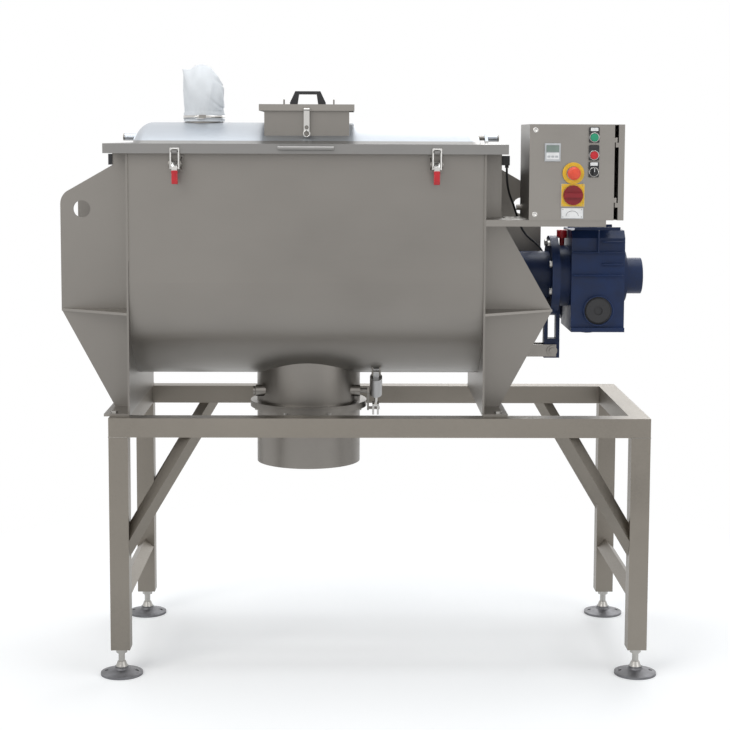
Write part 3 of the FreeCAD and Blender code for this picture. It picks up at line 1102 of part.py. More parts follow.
# ---------------------------------------------------------------- drive
def drive():
    z = d.shaft_level
    joint = d.drive_flange_x
    wall = d.drive_flange_wall
    circle = d.drive_flange - 16
    foot = bar("lantern_foot", d.lantern_radius + 26, 10, (TANK_RIGHT, 0, z), "X")
    tube = bar("lantern_tube", d.lantern_radius, joint - TANK_RIGHT, (TANK_RIGHT, 0, z), "X")
    flange = bar("lantern_flange", d.drive_flange, wall, (joint - wall, 0, z), "X")
    bore = bar("lantern_bore", d.lantern_radius - d.lantern_wall, joint - TANK_RIGHT, (TANK_RIGHT, 0, z),
               "X")
    holes, case_holes, bolts = [], [], []
    for k, (u, v) in enumerate(polar(8, circle, 22.5)):
        holes.append(bar(f"lantern_hole{k}", d.bolt_radius, wall, (joint - wall, u, z + v), "X"))
        case_holes.append(bar(f"case_hole{k}", d.bolt_radius, wall, (joint, u, z + v), "X"))
        bolts.append(bolt(f"drive_bolt{k}", 2 * wall, (joint - wall, u, z + v), "X"))
    node(cut("lantern", join("lantern_welded", foot, tube, flange), bore, *holes), "drive_lantern")

    half, low, high, edge = d.case_depth, d.case_low, d.case_high, d.case_chamfer
    outline = [(-half, low), (half, low), (half, high - edge), (half - edge, high), (edge - half, high),
               (-half, high - edge)]
    body = plate("case_body", "YZ", outline, d.case_length, (d.case_x, 0, 0))
    end = d.case_x + d.case_length
    parts = [body,
             bar("case_flange", d.drive_flange, wall, (joint, 0, z), "X"),
             bar("case_neck", d.drive_flange - 31, d.case_x - joint, (joint, 0, z), "X"),
             bar("case_hub", d.drive_flange - 46, 16, (end, 0, z), "X"),
             bar("case_cap", d.cap_radius, d.cap_end - end, (end, 0, z), "X"),
             bar("motor_seat", d.motor_radius + 16, 14, (d.motor_x, half, d.motor_z), "Y")]
    for k, side in enumerate((-1, 1)):
        parts.append(block(f"case_rib{k}", d.case_length - 24, 8, 10,
                           (d.case_x + 12, side * (half - 30) - 4, high)))
        parts.append(block(f"case_foot{k}", d.case_length, 26, 14, (d.case_x, side * half - 13, low)))
    hollow = bar("case_bore", d.drive_radius + d.running_gap, d.cap_end - 6 - joint, (joint, 0, z), "X")
    node(cut("gear_housing", join("case_cast", *parts), hollow, *case_holes), "gear_case")
    node(turned("cover", [(0, 0), (44, 0), (44, 6), (38, 10), (14, 10), (14, 6), (0, 6)],
                (d.motor_x, -half, d.motor_z), Rotation(Vector(1, 0, 0), 90)), "gear_cover")
    top = z + d.drive_flange - 31
    node(join("breather_plug", bar("breather_neck", 8, 30, (d.case_x - 18, 0, top)),
              bar("breather_cap", 17, 26, (d.case_x - 18, 0, top + 24))), "gear_breather")

    y = half + 14
    fins = []
    for k in range(16):
        angle = 360 / 16 * k
        fin = block(f"fin{k}", d.motor_radius + d.motor_fin, 5, d.motor_length - 30, (0, -2.5, 15))
        fins.append(place(fin, (d.motor_x, y + 15, d.motor_z),
                          ALONG["Y"].multiply(Rotation(Vector(0, 0, 1), angle))))
    frame = bar("motor_frame", d.motor_radius, d.motor_length, (d.motor_x, y, d.motor_z), "Y")
    front = bar("motor_flange", d.motor_radius + 16, 14, (d.motor_x, y, d.motor_z), "Y")
    box = block("terminal_box", 96, 90, 60, (d.motor_x - 48, y + 40, d.motor_z + d.motor_radius - 8))
    gland = hexagon("terminal_gland", 20, 12, (d.motor_x - 60, y + 85, d.motor_z + d.motor_radius + 24),
                    "X")
    shield = bar("motor_shield", d.motor_radius + d.motor_fin - 2.3, 10,
                 (d.motor_x, y + d.motor_length - 10, d.motor_z), "Y")
    stub = bar("motor_bore", 12 + d.running_gap, 34, (d.motor_x, y + d.motor_length - 34, d.motor_z), "Y")
    node(cut("motor", join("motor_welded", frame, front, shield, box, gland, *fins), stub), "motor_housing")

    back = y + d.motor_length
    cowl = d.motor_radius + d.motor_fin
    cup = bar("cowl_cup", cowl, d.cowl_length + 10, (d.motor_x, back - 10, d.motor_z), "Y")
    room = bar("cowl_room", cowl - 2, d.cowl_length + 8, (d.motor_x, back - 10, d.motor_z), "Y")
    slots = [block(f"cowl_slot{k}", 120 - 40 * (k % 2), 10, 8,
                   (d.motor_x - 60 + 20 * (k % 2), back + d.cowl_length - 6,
                                                           d.motor_z - 54 + 18 * k)) for k in range(6)]
    node(cut("cowl", cup, room, *slots), "fan_cowl")
    hub = bar("fan_hub", 20, 34, (d.motor_x, back + 12, d.motor_z), "Y")
    axle = bar("fan_axle", 12, 76, (d.motor_x, back - 32, d.motor_z), "Y")
    blades = []
    for k in range(6):
        blade = block(f"fan_blade{k}", 78, 3, 28, (0, -1.5, 0))
        blades.append(place(blade, (d.motor_x, back + 15, d.motor_z),
                            ALONG["Y"].multiply(Rotation(Vector(0, 0, 1), 60 * k))))
    node(join("fan", hub, axle, *blades), "motor_fan")

    bars = [block(f"torque_bar{k}", 12.5, 40, 106,
                  (joint - wall - 12.5 if k < 0 else joint + wall, -20, z - 208))
            for k in (-1, 1)]
    knuckle = block("torque_block", 2 * wall + 25, 44, 63, (joint - wall - 12.5, -22, z - 271))
    pin_bore = bar("torque_bore", 10, 60, (joint, -30, z - 246), "Y")
    node(cut("torque", join("torque_welded", *bars, knuckle), pin_bore), "torque_arm")
    reach = joint + 14 - TANK_RIGHT
    links = [block(f"anchor_bar{k}", reach, 8, 40,
                   (TANK_RIGHT, -31 if k < 0 else 23, z - 266)) for k in (-1, 1)]
    foot = block("anchor_foot", 10, 110, 90, (TANK_RIGHT, -55, z - 291))
    pin = bar("anchor_pin", 9.7, 84, (joint, -42, z - 246), "Y")
    washers = [bar(f"anchor_washer{k}", 17, 5, (joint, 31 if k > 0 else -36, z - 246), "Y") for k in (-1,
                                                                                                      1)]
    node(join("anchor", *links, foot, pin, *washers), "torque_anchor")
    return bolts


# ---------------------------------------------------------------- control box
def control_box():
    front = -d.box_front
    back = front + d.box_depth
    notch = (TANK_RIGHT + 74, -184.5)
    outline = [(TANK_RIGHT, -d.shelf_front), (TANK_RIGHT + d.shelf_length, -d.shelf_front),
               (TANK_RIGHT + d.shelf_length, -d.shelf_back), (notch[0], -d.shelf_back), notch,
               (TANK_RIGHT, notch[1])]
    node(plate("shelf", "XY", outline, d.shelf_height, (0, 0, d.box_low - d.shelf_height)), "control_shelf")

    wall = d.box_wall
    face = front + d.door_depth
    shell = block("box_outer", d.box_length, d.box_depth - d.door_depth, d.box_height,
                  (BOX_X, face, d.box_low))
    inside = block("box_inner", d.box_length - 2 * wall, d.box_depth - d.door_depth - wall,
                   d.box_height - 2 * wall,
                   (BOX_X + wall, face, d.box_low + wall))
    strip_x = BOX_X + d.door_length + 12.5
    strip = block("box_strip", BOX_X + d.box_length - strip_x, d.door_depth, d.box_height,
                  (strip_x, front, d.box_low))
    pins = []
    for k, level in enumerate((40, d.box_height.value - 70)):
        lug = block(f"door_lug{k}", 8, 8, 14, (HINGE_X - 0.5, front, d.box_low + level))
        pins += [lug, bar(f"door_pin{k}", 3, 30, (HINGE_X, HINGE_Y, d.box_low + level))]
    gland = bar("box_gland", 9, 16, (BOX_X - 16, back - 40, d.box_low + 30), "X")
    node(join("box_welded", cut("box_shell", shell, inside), strip, *pins, gland), "control_box")

    panel = block("door_panel", d.door_length, d.door_depth, d.box_height, (BOX_X, front, d.box_low))
    hollow = block("door_hollow", d.door_length - 2 * wall, d.door_depth - wall, d.box_height - 2 * wall,
                   (BOX_X + wall, front + wall, d.box_low + wall))
    knuckles, bores = [], []
    for k, level in enumerate((55, d.box_height.value - 55)):
        at = (HINGE_X, HINGE_Y, d.box_low + level)
        knuckles.append(bar(f"door_knuckle{k}", 4, 14, at))
        knuckles.append(block(f"door_leaf{k}", 7, 3, 14, (HINGE_X - 7, HINGE_Y - 3.9, d.box_low + level)))
        bores.append(bar(f"door_bore{k}", 3 + d.running_gap, 14, at))
    holes = []
    for label, (u, v) in FACE.items():
        holes.append(bar(f"{label}_hole", d.panel_hole, wall, (u, front, v), "Y"))
    node(cut("door", join("door_welded", cut("door_shell", panel, hollow), *knuckles), *holes, *bores),
         "control_door")

    fittings = [block("display", 49, 6, 56, (BOX_X + 46, front - 6, d.box_low + 181)),
                block("switch_plate", 73, 5, 71, (BOX_X + 98, front - 5, d.box_low + 42)),
                block("blank_plate", 69, 3, 34, (BOX_X + 99, front - 3, d.box_low + 5))]
    hollows = []
    for label, (u, v) in FACE.items():
        rim = 32 if label in ("estop", "mains") else 16
        depth = 8 if label in ("mains",) else 5
        fittings.append(bar(f"{label}_bezel", rim, depth, (u, front - depth, v), "Y"))
        fittings.append(bar(f"{label}_barrel", d.panel_hole - 0.3, 30, (u, front, v), "Y"))
        hollows.append(bar(f"{label}_bore", 7 + d.running_gap, 60, (u, front - 10, v), "Y"))
    node(cut("fittings", join("fittings_joined", *fittings), *hollows), "panel_fittings")

    for label, title in (("green", "green_button"), ("red", "red_button")):
        u, v = FACE[label]
        cap = bar(f"{label}_cap", 12, 4, (u, front - 12, v), "Y")
        node(join(f"{label}_unit", cap, bar(f"{label}_stem", 7, 30, (u, front - 12, v), "Y")), title)
    u, v = FACE["selector"]
    disc = bar("selector_disc", 14, 3, (u, front - 8.3, v), "Y")
    lever = block("selector_lever", 7, 14, 26, (u - 3.5, front - 22, v - 13))
    node(join("selector_unit", disc, lever, bar("selector_stem", 7, 26, (u, front - 8.3, v), "Y")),
         "selector_knob")
    u, v = FACE["estop"]
    neck = bar("estop_stem", 7, 48, (u, front - 22, v), "Y")
    head = turned("estop_cap", [(0, 0), (12, 0), (20, 6), (20, 14), (13, 20), (0, 22)],
                  (u, front - 14, v), Rotation(Vector(1, 0, 0), 90))
    node(join("estop_unit", neck, head), "estop_head")
    u, v = FACE["mains"]
    disc = bar("mains_disc", 30, 8, (u, front - 16.3, v), "Y")
    grip = block("mains_grip", 56, 14, 14, (u - 28, front - 30, v - 7))
    node(join("mains_unit", disc, grip, bar("mains_stem", 7, 40, (u, front - 16.3, v), "Y")),
         "main_switch_knob")


# ---------------------------------------------------------------- lid switch and its cable
def cord(name, points, radius):
    """A round cord along straight runs joined by tangent arcs. Prints its length and its tightest bend."""
    points = [Vector(*[size(c).value for c in point]) for point in points]
    edges, tightest, last = [], None, points[0]
    for before, corner, after in zip(points, points[1:], points[2:]):
        into = (corner - before).normalize()
        away = (after - corner).normalize()
        half = into.getAngle(away) / 2
        setback = 0.45 * min((corner - before).Length, (after - corner).Length)
        bend = setback / math.tan(half)
        tightest = bend if tightest is None else min(tightest, bend)
        start = corner - into * setback
        end = corner + away * setback
        inward = (away - into).normalize()
        middle = corner + inward * (bend / math.cos(half) - bend)
        if (start - last).Length > 0.01:
            edges.append(Part.LineSegment(last, start).toShape())
        edges.append(Part.Arc(start, middle, end).toShape())
        last = end
    edges.append(Part.LineSegment(last, points[-1]).toShape())
    spine = Part.Wire(edges)
    heading = (points[1] - points[0]).normalize()
    profile = Part.Wire([Part.Circle(points[0], heading, radius).toShape()])
    piece = doc.addObject("Part::Feature", name)
    piece.Shape = spine.makePipeShell([profile], True, True)
    print(name, "length", round(spine.Length), "tightest bend", round(tightest))
    return piece


def lid_switch():
    x = TANK_RIGHT + d.wing_neck
    body = block("switch_body", 24, 30, 30, (x, -d.wing_setback - 10, d.lid_level - 36))
    gland = bar("switch_gland", 6, 8, (x + 16, -d.wing_setback + 5, d.lid_level - 44))
    catch = block("switch_post", 12, 18, 34, (TANK_LEFT - d.wing_neck - 12, -d.wing_setback - 6,
                                              d.lid_level - 38))
    node(group("switches", join("switch", body, gland), catch), "lid_switch")
    y = -d.wing_setback + 5
    gland_x, gland_y = d.motor_x - 60, d.case_depth + 99
    gland_z = d.motor_z + d.motor_radius + 24
    route = [(x + 16, y, d.lid_level - 44), (x + 16, y, 1558), (x + 26, -140, 1512), (431, -98, 1476),
             (449, -76, 1424), (472, -44, 1378), (504, 16, 1352), (532, 76, 1332), (552, 122, 1308),
             (570, gland_y - 45, gland_z + 38), (gland_x - 49, gland_y, gland_z),
             (gland_x, gland_y, gland_z)]
    node(cord("cable", route, 3.5), "switch_cable")


stand()
bolts = seals() + outlet() + drive()
tank(actuator(), bolts)
agitator()
lid()
port_lid()
lid_holders()
clamps()
gas_springs()
control_box()
lid_switch()
node(group("bolts", *bolts), "machine_bolts")

# ---------------------------------------------------------------- check and write
doc.recompute()
for piece in doc.Objects:
    if "Invalid" in piece.State or "Error" in piece.State:
        raise RuntimeError(f"{piece.Label} failed: {piece.State}")
os.makedirs("parts", exist_ok=True)
for piece in NODES:
    shape = piece.Shape
    if shape.isNull() or not shape.isValid() or not shape.Solids:
        raise RuntimeError(f"{piece.Label} has no valid shape")
    shape.exportStep(f"parts/{piece.Label}.step")
print(len(NODES), "nodes")
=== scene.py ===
import math

import bmesh
import bpy
from mathutils import Matrix, Vector


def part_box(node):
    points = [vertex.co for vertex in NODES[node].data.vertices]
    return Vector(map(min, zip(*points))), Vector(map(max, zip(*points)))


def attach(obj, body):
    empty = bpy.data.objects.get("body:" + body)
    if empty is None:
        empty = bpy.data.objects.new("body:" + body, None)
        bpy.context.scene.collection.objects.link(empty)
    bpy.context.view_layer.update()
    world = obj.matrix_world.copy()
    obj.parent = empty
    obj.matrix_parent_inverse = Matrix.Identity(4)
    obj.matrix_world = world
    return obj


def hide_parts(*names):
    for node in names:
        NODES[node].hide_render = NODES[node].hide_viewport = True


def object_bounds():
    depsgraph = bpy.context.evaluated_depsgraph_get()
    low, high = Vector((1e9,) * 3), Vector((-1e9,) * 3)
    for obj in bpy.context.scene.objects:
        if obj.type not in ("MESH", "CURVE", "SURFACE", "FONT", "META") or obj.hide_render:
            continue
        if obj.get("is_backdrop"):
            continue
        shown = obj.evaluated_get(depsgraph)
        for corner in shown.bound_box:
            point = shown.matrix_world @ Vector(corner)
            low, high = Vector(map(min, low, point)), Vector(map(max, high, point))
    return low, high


# Ribbon blender: materials, the cloth dust bag, rounded grips, panel details, weld beads and a studio
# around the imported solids. Metres, in the frame of the solids.

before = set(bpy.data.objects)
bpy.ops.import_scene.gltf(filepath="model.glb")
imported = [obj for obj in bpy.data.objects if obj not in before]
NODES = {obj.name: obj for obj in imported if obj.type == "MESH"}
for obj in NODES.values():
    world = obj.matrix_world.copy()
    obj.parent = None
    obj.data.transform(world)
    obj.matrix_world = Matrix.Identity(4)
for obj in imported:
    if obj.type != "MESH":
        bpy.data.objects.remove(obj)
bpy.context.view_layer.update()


# ---------------------------------------------------------------- materials
def new_material(name):
    """An empty node material with its shader, ready for a colour."""
    material = bpy.data.materials.new(name)
    material.use_nodes = True
    shader = material.node_tree.nodes["Principled BSDF"]
    return material, material.node_tree, shader


def add(tree, kind, **values):
    """A node with its properties and input values set."""
    item = tree.nodes.new(kind)
    for key, value in values.items():
        if key in item.inputs:
            item.inputs[key].default_value = value
        else:
            setattr(item, key, value)
    return item


def coordinates(tree, scale=(1, 1, 1), turn=(0, 0, 0)):
    """Object coordinates, which are the row frame in metres, stretched for a grain."""
    source = add(tree, "ShaderNodeTexCoord")
    mapping = add(tree, "ShaderNodeMapping", Scale=scale, Rotation=turn)
    tree.links.new(source.outputs["Object"], mapping.inputs["Vector"])
    return mapping.outputs["Vector"]


def noise(tree, vector, scale, detail=4.0, rough=0.5):
    """A noise texture's factor."""
    texture = add(tree, "ShaderNodeTexNoise", Scale=scale, Detail=detail, Roughness=rough)
    tree.links.new(vector, texture.inputs["Vector"])
    return texture.outputs["Fac"]


def spread(tree, fac, low, high, start=0.3, stop=0.7):
    """A 0 to 1 factor turned into a number between two limits."""
    ranged = add(tree, "ShaderNodeMapRange")
    ranged.inputs["From Min"].default_value = start
    ranged.inputs["From Max"].default_value = stop
    ranged.inputs["To Min"].default_value = low
    ranged.inputs["To Max"].default_value = high
    tree.links.new(fac, ranged.inputs["Value"])
    return ranged.outputs["Result"]


def ramp(tree, fac, stops):
    """A colour ramp from (position, colour) stops."""
    item = add(tree, "ShaderNodeValToRGB")
    elements = item.color_ramp.elements
    while len(elements) < len(stops):
        elements.new(0.5)
    for element, (position, colour) in zip(elements, stops):
        element.position = position
        element.color = (*colour, 1.0)
    tree.links.new(fac, item.inputs["Fac"])
    return item.outputs["Color"]


def bump(tree, shader, height, distance, strength=1.0):
    """Relief on the shader's normal, as deep as distance."""
    item = add(tree, "ShaderNodeBump", Strength=strength, Distance=distance)
    tree.links.new(height, item.inputs["Height"])
    tree.links.new(item.outputs["Normal"], shader.inputs["Normal"])


def shade(colour, factor):
    """A colour made darker or lighter."""
    return tuple(min(1.0, channel * factor) for channel in colour)


def brushed_steel(name, colour, grain, rough=(0.26, 0.40), depth=0.00006, cloud=0.12, upper=None,
                  level=0.0):
    """Brushed stainless sheet: fine grain stretched along one axis, soft clouds and faint stains.

    upper is a brighter, bluish colour above a level: a painted reflection of the sky on the lid's dome."""
    material, tree, shader = new_material(name)
    shader.inputs["Metallic"].default_value = 1.0
    fine = noise(tree, coordinates(tree, grain), 1.0, 3.0, 0.6)
    clouds = noise(tree, coordinates(tree, (1.6, 1.6, 2.2)), 1.0, 3.0, 0.55)
    mixed = add(tree, "ShaderNodeMath", operation="MULTIPLY_ADD")
    tree.links.new(fine, mixed.inputs[0])
    mixed.inputs[1].default_value = 0.32
    tree.links.new(clouds, mixed.inputs[2])
    tint = ramp(tree, mixed.outputs[0], [(0.38, shade(colour, 1 - cloud)), (0.58, colour),
                                         (0.80, shade(colour, 1 + cloud * 0.6))])
    # Above the level the colour turns to upper, a painted reflection of the sky on the dome.
    if upper:
        heights = add(tree, "ShaderNodeSeparateXYZ")
        tree.links.new(coordinates(tree), heights.inputs[0])
        blend = add(tree, "ShaderNodeMix", data_type="RGBA")
        share = spread(tree, heights.outputs["Z"], 0.0, 1.0, level - 0.001, level + 0.001)
        tree.links.new(share, blend.inputs["Factor"])
        tree.links.new(tint, blend.inputs[6])
        blend.inputs[7].default_value = (*upper, 1.0)
        tint = blend.outputs[2]
    tree.links.new(tint, shader.inputs["Base Color"])
    tree.links.new(spread(tree, fine, rough[0], rough[1]), shader.inputs["Roughness"])
    bump(tree, shader, fine, depth, 0.35)
    return material


def painted(name, colour, rough=0.35, metallic=0.0, grain=700.0, depth=0.00008, wear=0.25):
    """Sprayed paint over a casting: orange peel and slightly lighter worn patches."""
    material, tree, shader = new_material(name)
    shader.inputs["Metallic"].default_value = metallic
    shader.inputs["Coat Weight"].default_value = 0.08
    shader.inputs["Specular IOR Level"].default_value = 0.3
    shader.inputs["Coat Roughness"].default_value = 0.2
    peel = noise(tree, coordinates(tree), grain, 2.0, 0.5)
    patches = noise(tree, coordinates(tree), 14.0, 5.0, 0.65)
    tint = ramp(tree, patches, [(0.35, shade(colour, 1 - wear)), (0.55, colour),
                                (0.75, shade(colour, 1 + wear))])
    tree.links.new(tint, shader.inputs["Base Color"])
    tree.links.new(spread(tree, patches, rough * 0.8, rough * 1.3), shader.inputs["Roughness"])
    bump(tree, shader, peel, depth)
    return material


def moulded(name, colour, rough=0.45, grain=1400.0, depth=0.00004, vary=0.12):
    """Moulded plastic or rubber with a fine skin and slight soiling."""
    material, tree, shader = new_material(name)
    skin = noise(tree, coordinates(tree), grain, 2.0, 0.5)
    soil = noise(tree, coordinates(tree), 30.0, 4.0, 0.6)
    tint = ramp(tree, soil, [(0.3, shade(colour, 1 - vary)), (0.7, shade(colour, 1 + vary))])
    tree.links.new(tint, shader.inputs["Base Color"])
    tree.links.new(spread(tree, soil, rough * 0.85, rough * 1.15), shader.inputs["Roughness"])
    bump(tree, shader, skin, depth)
    return material


def cast_metal(name, colour, rough=0.5, depth=0.0003):
    """Sand-cast metal, pitted and patchy."""
    material, tree, shader = new_material(name)
    shader.inputs["Metallic"].default_value = 0.9
    pits = noise(tree, coordinates(tree), 420.0, 5.0, 0.7)
    patches = noise(tree, coordinates(tree), 25.0, 4.0, 0.6)
    tint = ramp(tree, patches, [(0.3, shade(colour, 0.75)), (0.7, shade(colour, 1.15))])
    tree.links.new(tint, shader.inputs["Base Color"])
    tree.links.new(spread(tree, pits, rough * 0.8, rough * 1.2), shader.inputs["Roughness"])
    bump(tree, shader, pits, depth)
    return material


def cloth(name, colour, thread=1600.0, depth=0.00025):
    """Plain woven filter cloth: two crossed thread waves and soft soiling."""
    material, tree, shader = new_material(name)
    vector = coordinates(tree)
    height = None
    for direction in ("X", "Z"):
        wave = add(tree, "ShaderNodeTexWave", Scale=thread / (2 * math.pi), Distortion=0.6)
        wave.bands_direction = direction
        tree.links.new(vector, wave.inputs["Vector"])
        if height is None:
            height = wave.outputs["Fac"]
            continue
        both = add(tree, "ShaderNodeMath", operation="MULTIPLY")
        tree.links.new(height, both.inputs[0])
        tree.links.new(wave.outputs["Fac"], both.inputs[1])
        height = both.outputs[0]
    soil = noise(tree, vector, 22.0, 4.0, 0.6)
    tint = ramp(tree, soil, [(0.3, shade(colour, 0.93)), (0.7, colour)])
    tree.links.new(tint, shader.inputs["Base Color"])
    shader.inputs["Roughness"].default_value = 0.9
    shader.inputs["Sheen Weight"].default_value = 0.2
    bump(tree, shader, height, depth)
    return material


WARM = (0.235, 0.222, 0.205)
STEEL_FRONT = brushed_steel("steel_front", WARM, (9.0, 9.0, 900.0), (0.34, 0.44))
STEEL_UP = brushed_steel("steel_upright", WARM, (900.0, 900.0, 9.0), (0.34, 0.44))
STEEL_LENGTH = brushed_steel("steel_lengthwise", shade(WARM, 1.15), (9.0, 900.0, 900.0), (0.34, 0.44))
STEEL_TURNED = brushed_steel("steel_turned", shade(WARM, 0.95), (900.0, 6.0, 6.0), (0.30, 0.42))
# The lid's dome above 1.675 m gets a brighter, bluish colour: a painted reflection of the sky.
STEEL_LID = brushed_steel("steel_lid", (0.250, 0.245, 0.238), (6.0, 800.0, 800.0), (0.30, 0.40),
                          upper=(0.46, 0.49, 0.53), level=1.675)
STEEL_BOX = brushed_steel("steel_box", shade(WARM, 1.2), (12.0, 1000.0, 1000.0), (0.32, 0.42))
FRAME_STEEL = brushed_steel("steel_stand", (0.240, 0.220, 0.192), (160.0, 160.0, 160.0), (0.36, 0.48),
                            cloud=0.16)
BOLT_STEEL = brushed_steel("steel_bolts", (0.40, 0.39, 0.37), (300.0, 300.0, 60.0), (0.25, 0.4))
CHROME = brushed_steel("bright_wire", (0.58, 0.57, 0.55), (400.0, 400.0, 40.0), (0.12, 0.22), 0.00002, 0.05)
CAST = cast_metal("cast_grey", (0.20, 0.20, 0.21))
BLUE = painted("navy_paint", (0.004, 0.017, 0.066), 0.45)
BLACK = moulded("black_moulding", (0.018, 0.018, 0.02), 0.42)
BLACK_RUBBER = moulded("black_rubber", (0.02, 0.02, 0.022), 0.6)
RED = moulded("red_moulding", (0.48, 0.014, 0.022), 0.38)
DARK_RED = moulded("dark_red_moulding", (0.22, 0.006, 0.012), 0.34)
YELLOW = moulded("yellow_moulding", (0.76, 0.47, 0.03), 0.45)
ORANGE = moulded("orange_red_moulding", (0.72, 0.075, 0.035), 0.4)
GREEN = moulded("green_moulding", (0.02, 0.30, 0.16), 0.35)
GREY = moulded("grey_moulding", (0.50, 0.51, 0.52), 0.45)
WHITE = moulded("white_plate", (0.80, 0.80, 0.79), 0.5)
GLASS = moulded("display_window", (0.20, 0.25, 0.22), 0.15)
SEAL = moulded("pale_rubber", (0.70, 0.70, 0.66), 0.55)
CLOTH = cloth("filter_cloth", (0.74, 0.76, 0.78))
BEAD = brushed_steel("weld_bead", (0.27, 0.255, 0.23), (200.0, 200.0, 200.0), (0.3, 0.5))
ALLOY = brushed_steel("light_alloy", (0.42, 0.42, 0.42), (200.0, 200.0, 20.0), (0.3, 0.45))

FINISH = {
    "stand_legs": FRAME_STEEL, "foot_spindles": BOLT_STEEL, "foot_pads": CAST, "stand_top_frame":
    FRAME_STEEL, "stand_braces": FRAME_STEEL, "trough_shell": STEEL_FRONT, "end_plate_left": STEEL_UP,
    "end_plate_right": STEEL_UP, "side_wings": STEEL_UP, "tank_gussets": STEEL_LENGTH, "outer_ribbons":
    STEEL_TURNED, "inner_ribbons": STEEL_TURNED, "agitator_spokes": STEEL_UP, "agitator_shaft":
    STEEL_TURNED, "shaft_seals": STEEL_TURNED, "bearing_housing": CAST, "lid_shell": STEEL_LID,
    "lid_gasket": SEAL, "feed_port": STEEL_UP, "bag_collar": STEEL_LENGTH, "dust_bag": CLOTH, "port_lid":
    STEEL_BOX, "port_handle": BLACK, "port_latch": CHROME, "hinge_brackets": STEEL_UP, "clamp_bases":
    STEEL_UP, "clamp_lever_left": CHROME, "clamp_lever_right": CHROME, "clamp_bail_left": CHROME,
    "clamp_bail_right": CHROME, "gas_cylinders": BLACK, "gas_rods": CHROME, "outlet_pipe": STEEL_TURNED,
    "outlet_spout": STEEL_FRONT, "valve_flap": STEEL_LENGTH, "valve_shaft": STEEL_TURNED,
    "cylinder_barrel": ALLOY, "cylinder_rod": CHROME, "drive_lantern": BLUE, "gear_case": BLUE,
    "gear_cover": BLACK_RUBBER, "gear_breather": RED, "motor_housing": BLUE, "fan_cowl": BLUE,
    "motor_fan": BLACK, "torque_arm": BLUE, "torque_anchor": STEEL_LENGTH, "machine_bolts": BOLT_STEEL,
    "control_shelf": STEEL_LENGTH, "control_box": STEEL_BOX, "control_door": STEEL_BOX, "panel_fittings":
    GREY, "green_button": GREEN, "red_button": RED, "selector_knob": BLACK, "estop_head": ORANGE,
    "main_switch_knob": DARK_RED, "lid_switch": BLACK, "switch_cable": BLACK_RUBBER,
}
for label, finish in FINISH.items():
    holder = NODES[label]
    holder.data.materials.clear()
    holder.data.materials.append(finish)


# ---------------------------------------------------------------- building helpers
def keep(name, mesh, material, body, smooth=True):
    """A named piece from a mesh, with its finish and the body that it rides on."""
    piece = bpy.data.objects.new(name, mesh)
    bpy.context.collection.objects.link(piece)
    mesh.materials.clear()
    mesh.materials.append(material)
    for face in mesh.polygons:
        face.use_smooth = smooth
    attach(piece, body)
    return piece


def solid_curve(curve, placement):
    """The mesh of a bevelled or extruded curve, put in place."""
    holder = bpy.data.objects.new("holder", curve)
    bpy.context.collection.objects.link(holder)
    bpy.context.view_layer.update()
    mesh = bpy.data.meshes.new_from_object(holder.evaluated_get(bpy.context.evaluated_depsgraph_get()))
    mesh.transform(placement)
    bpy.data.objects.remove(holder)
    return mesh


def flat_plate(name, loops, thickness, edge, placement, material, body):
    """A flat plate with bevelled edges. loops are closed outlines in its plane, holes after the first."""
    curve = bpy.data.curves.new(name, "CURVE")
    curve.dimensions = "2D"
    curve.fill_mode = "BOTH"
    curve.extrude = thickness / 2 - edge
    curve.bevel_depth = edge
    curve.bevel_resolution = 2
    curve.offset = -edge
    for loop in loops:
        spline = curve.splines.new("POLY")
        spline.points.add(len(loop) - 1)
        for point, (u, v) in zip(spline.points, loop):
            point.co = (u, v, 0, 1)
        spline.use_cyclic_u = True
    return keep(name, solid_curve(curve, placement), material, body, smooth=False)


def rounded(width, height, radius, steps=6):
    """Outline of a rectangle with round corners, about its centre."""
    points = []
    for index, (sx, sy) in enumerate(((1, 1), (-1, 1), (-1, -1), (1, -1))):
        for k in range(steps + 1):
            angle = math.pi / 2 * (index + k / steps)
            points.append((sx * (width / 2 - radius) + radius * math.cos(angle),
                           sy * (height / 2 - radius) + radius * math.sin(angle)))
    return points


def circle(radius, steps=48):
    """Outline of a circle about its centre."""
    return [(radius * math.cos(2 * math.pi * k / steps), radius * math.sin(2 * math.pi * k / steps))
            for k in range(steps)]


def facing_front(x, y, z):
    """Placement whose plane looks along -Y, with its centre at that point."""
    return Matrix.Translation((x, y, z)) @ Matrix.Rotation(math.pi / 2, 4, "X")


def rod(name, points, radius, material, body, ripple=0.0, closed=False, smooth_path=False):
    """A round bar or weld bead along points; ripple swells every other point, as a weld's beads do."""
    curve = bpy.data.curves.new(name, "CURVE")
    curve.dimensions = "3D"
    curve.bevel_depth = radius
    curve.bevel_resolution = 3
    curve.use_fill_caps = True
    spline = curve.splines.new("NURBS" if smooth_path else "POLY")
    spline.points.add(len(points) - 1)
    for index, (point, place) in enumerate(zip(spline.points, points)):
        point.co = (*place, 1)
        point.radius = 1 + ripple * (1 if index % 2 else -1)
    if smooth_path:
        spline.order_u = 3
        spline.use_endpoint_u = True
    spline.use_cyclic_u = closed
    return keep(name, solid_curve(curve, Matrix.Identity(4)), material, body)


def run_of(start, end, step=0.006):
    """Points from start to end, a weld bead's pitch apart."""
    start, end = Vector(start), Vector(end)
    count = max(2, round((end - start).length / step))
    return [start.lerp(end, k / count) for k in range(count + 1)]


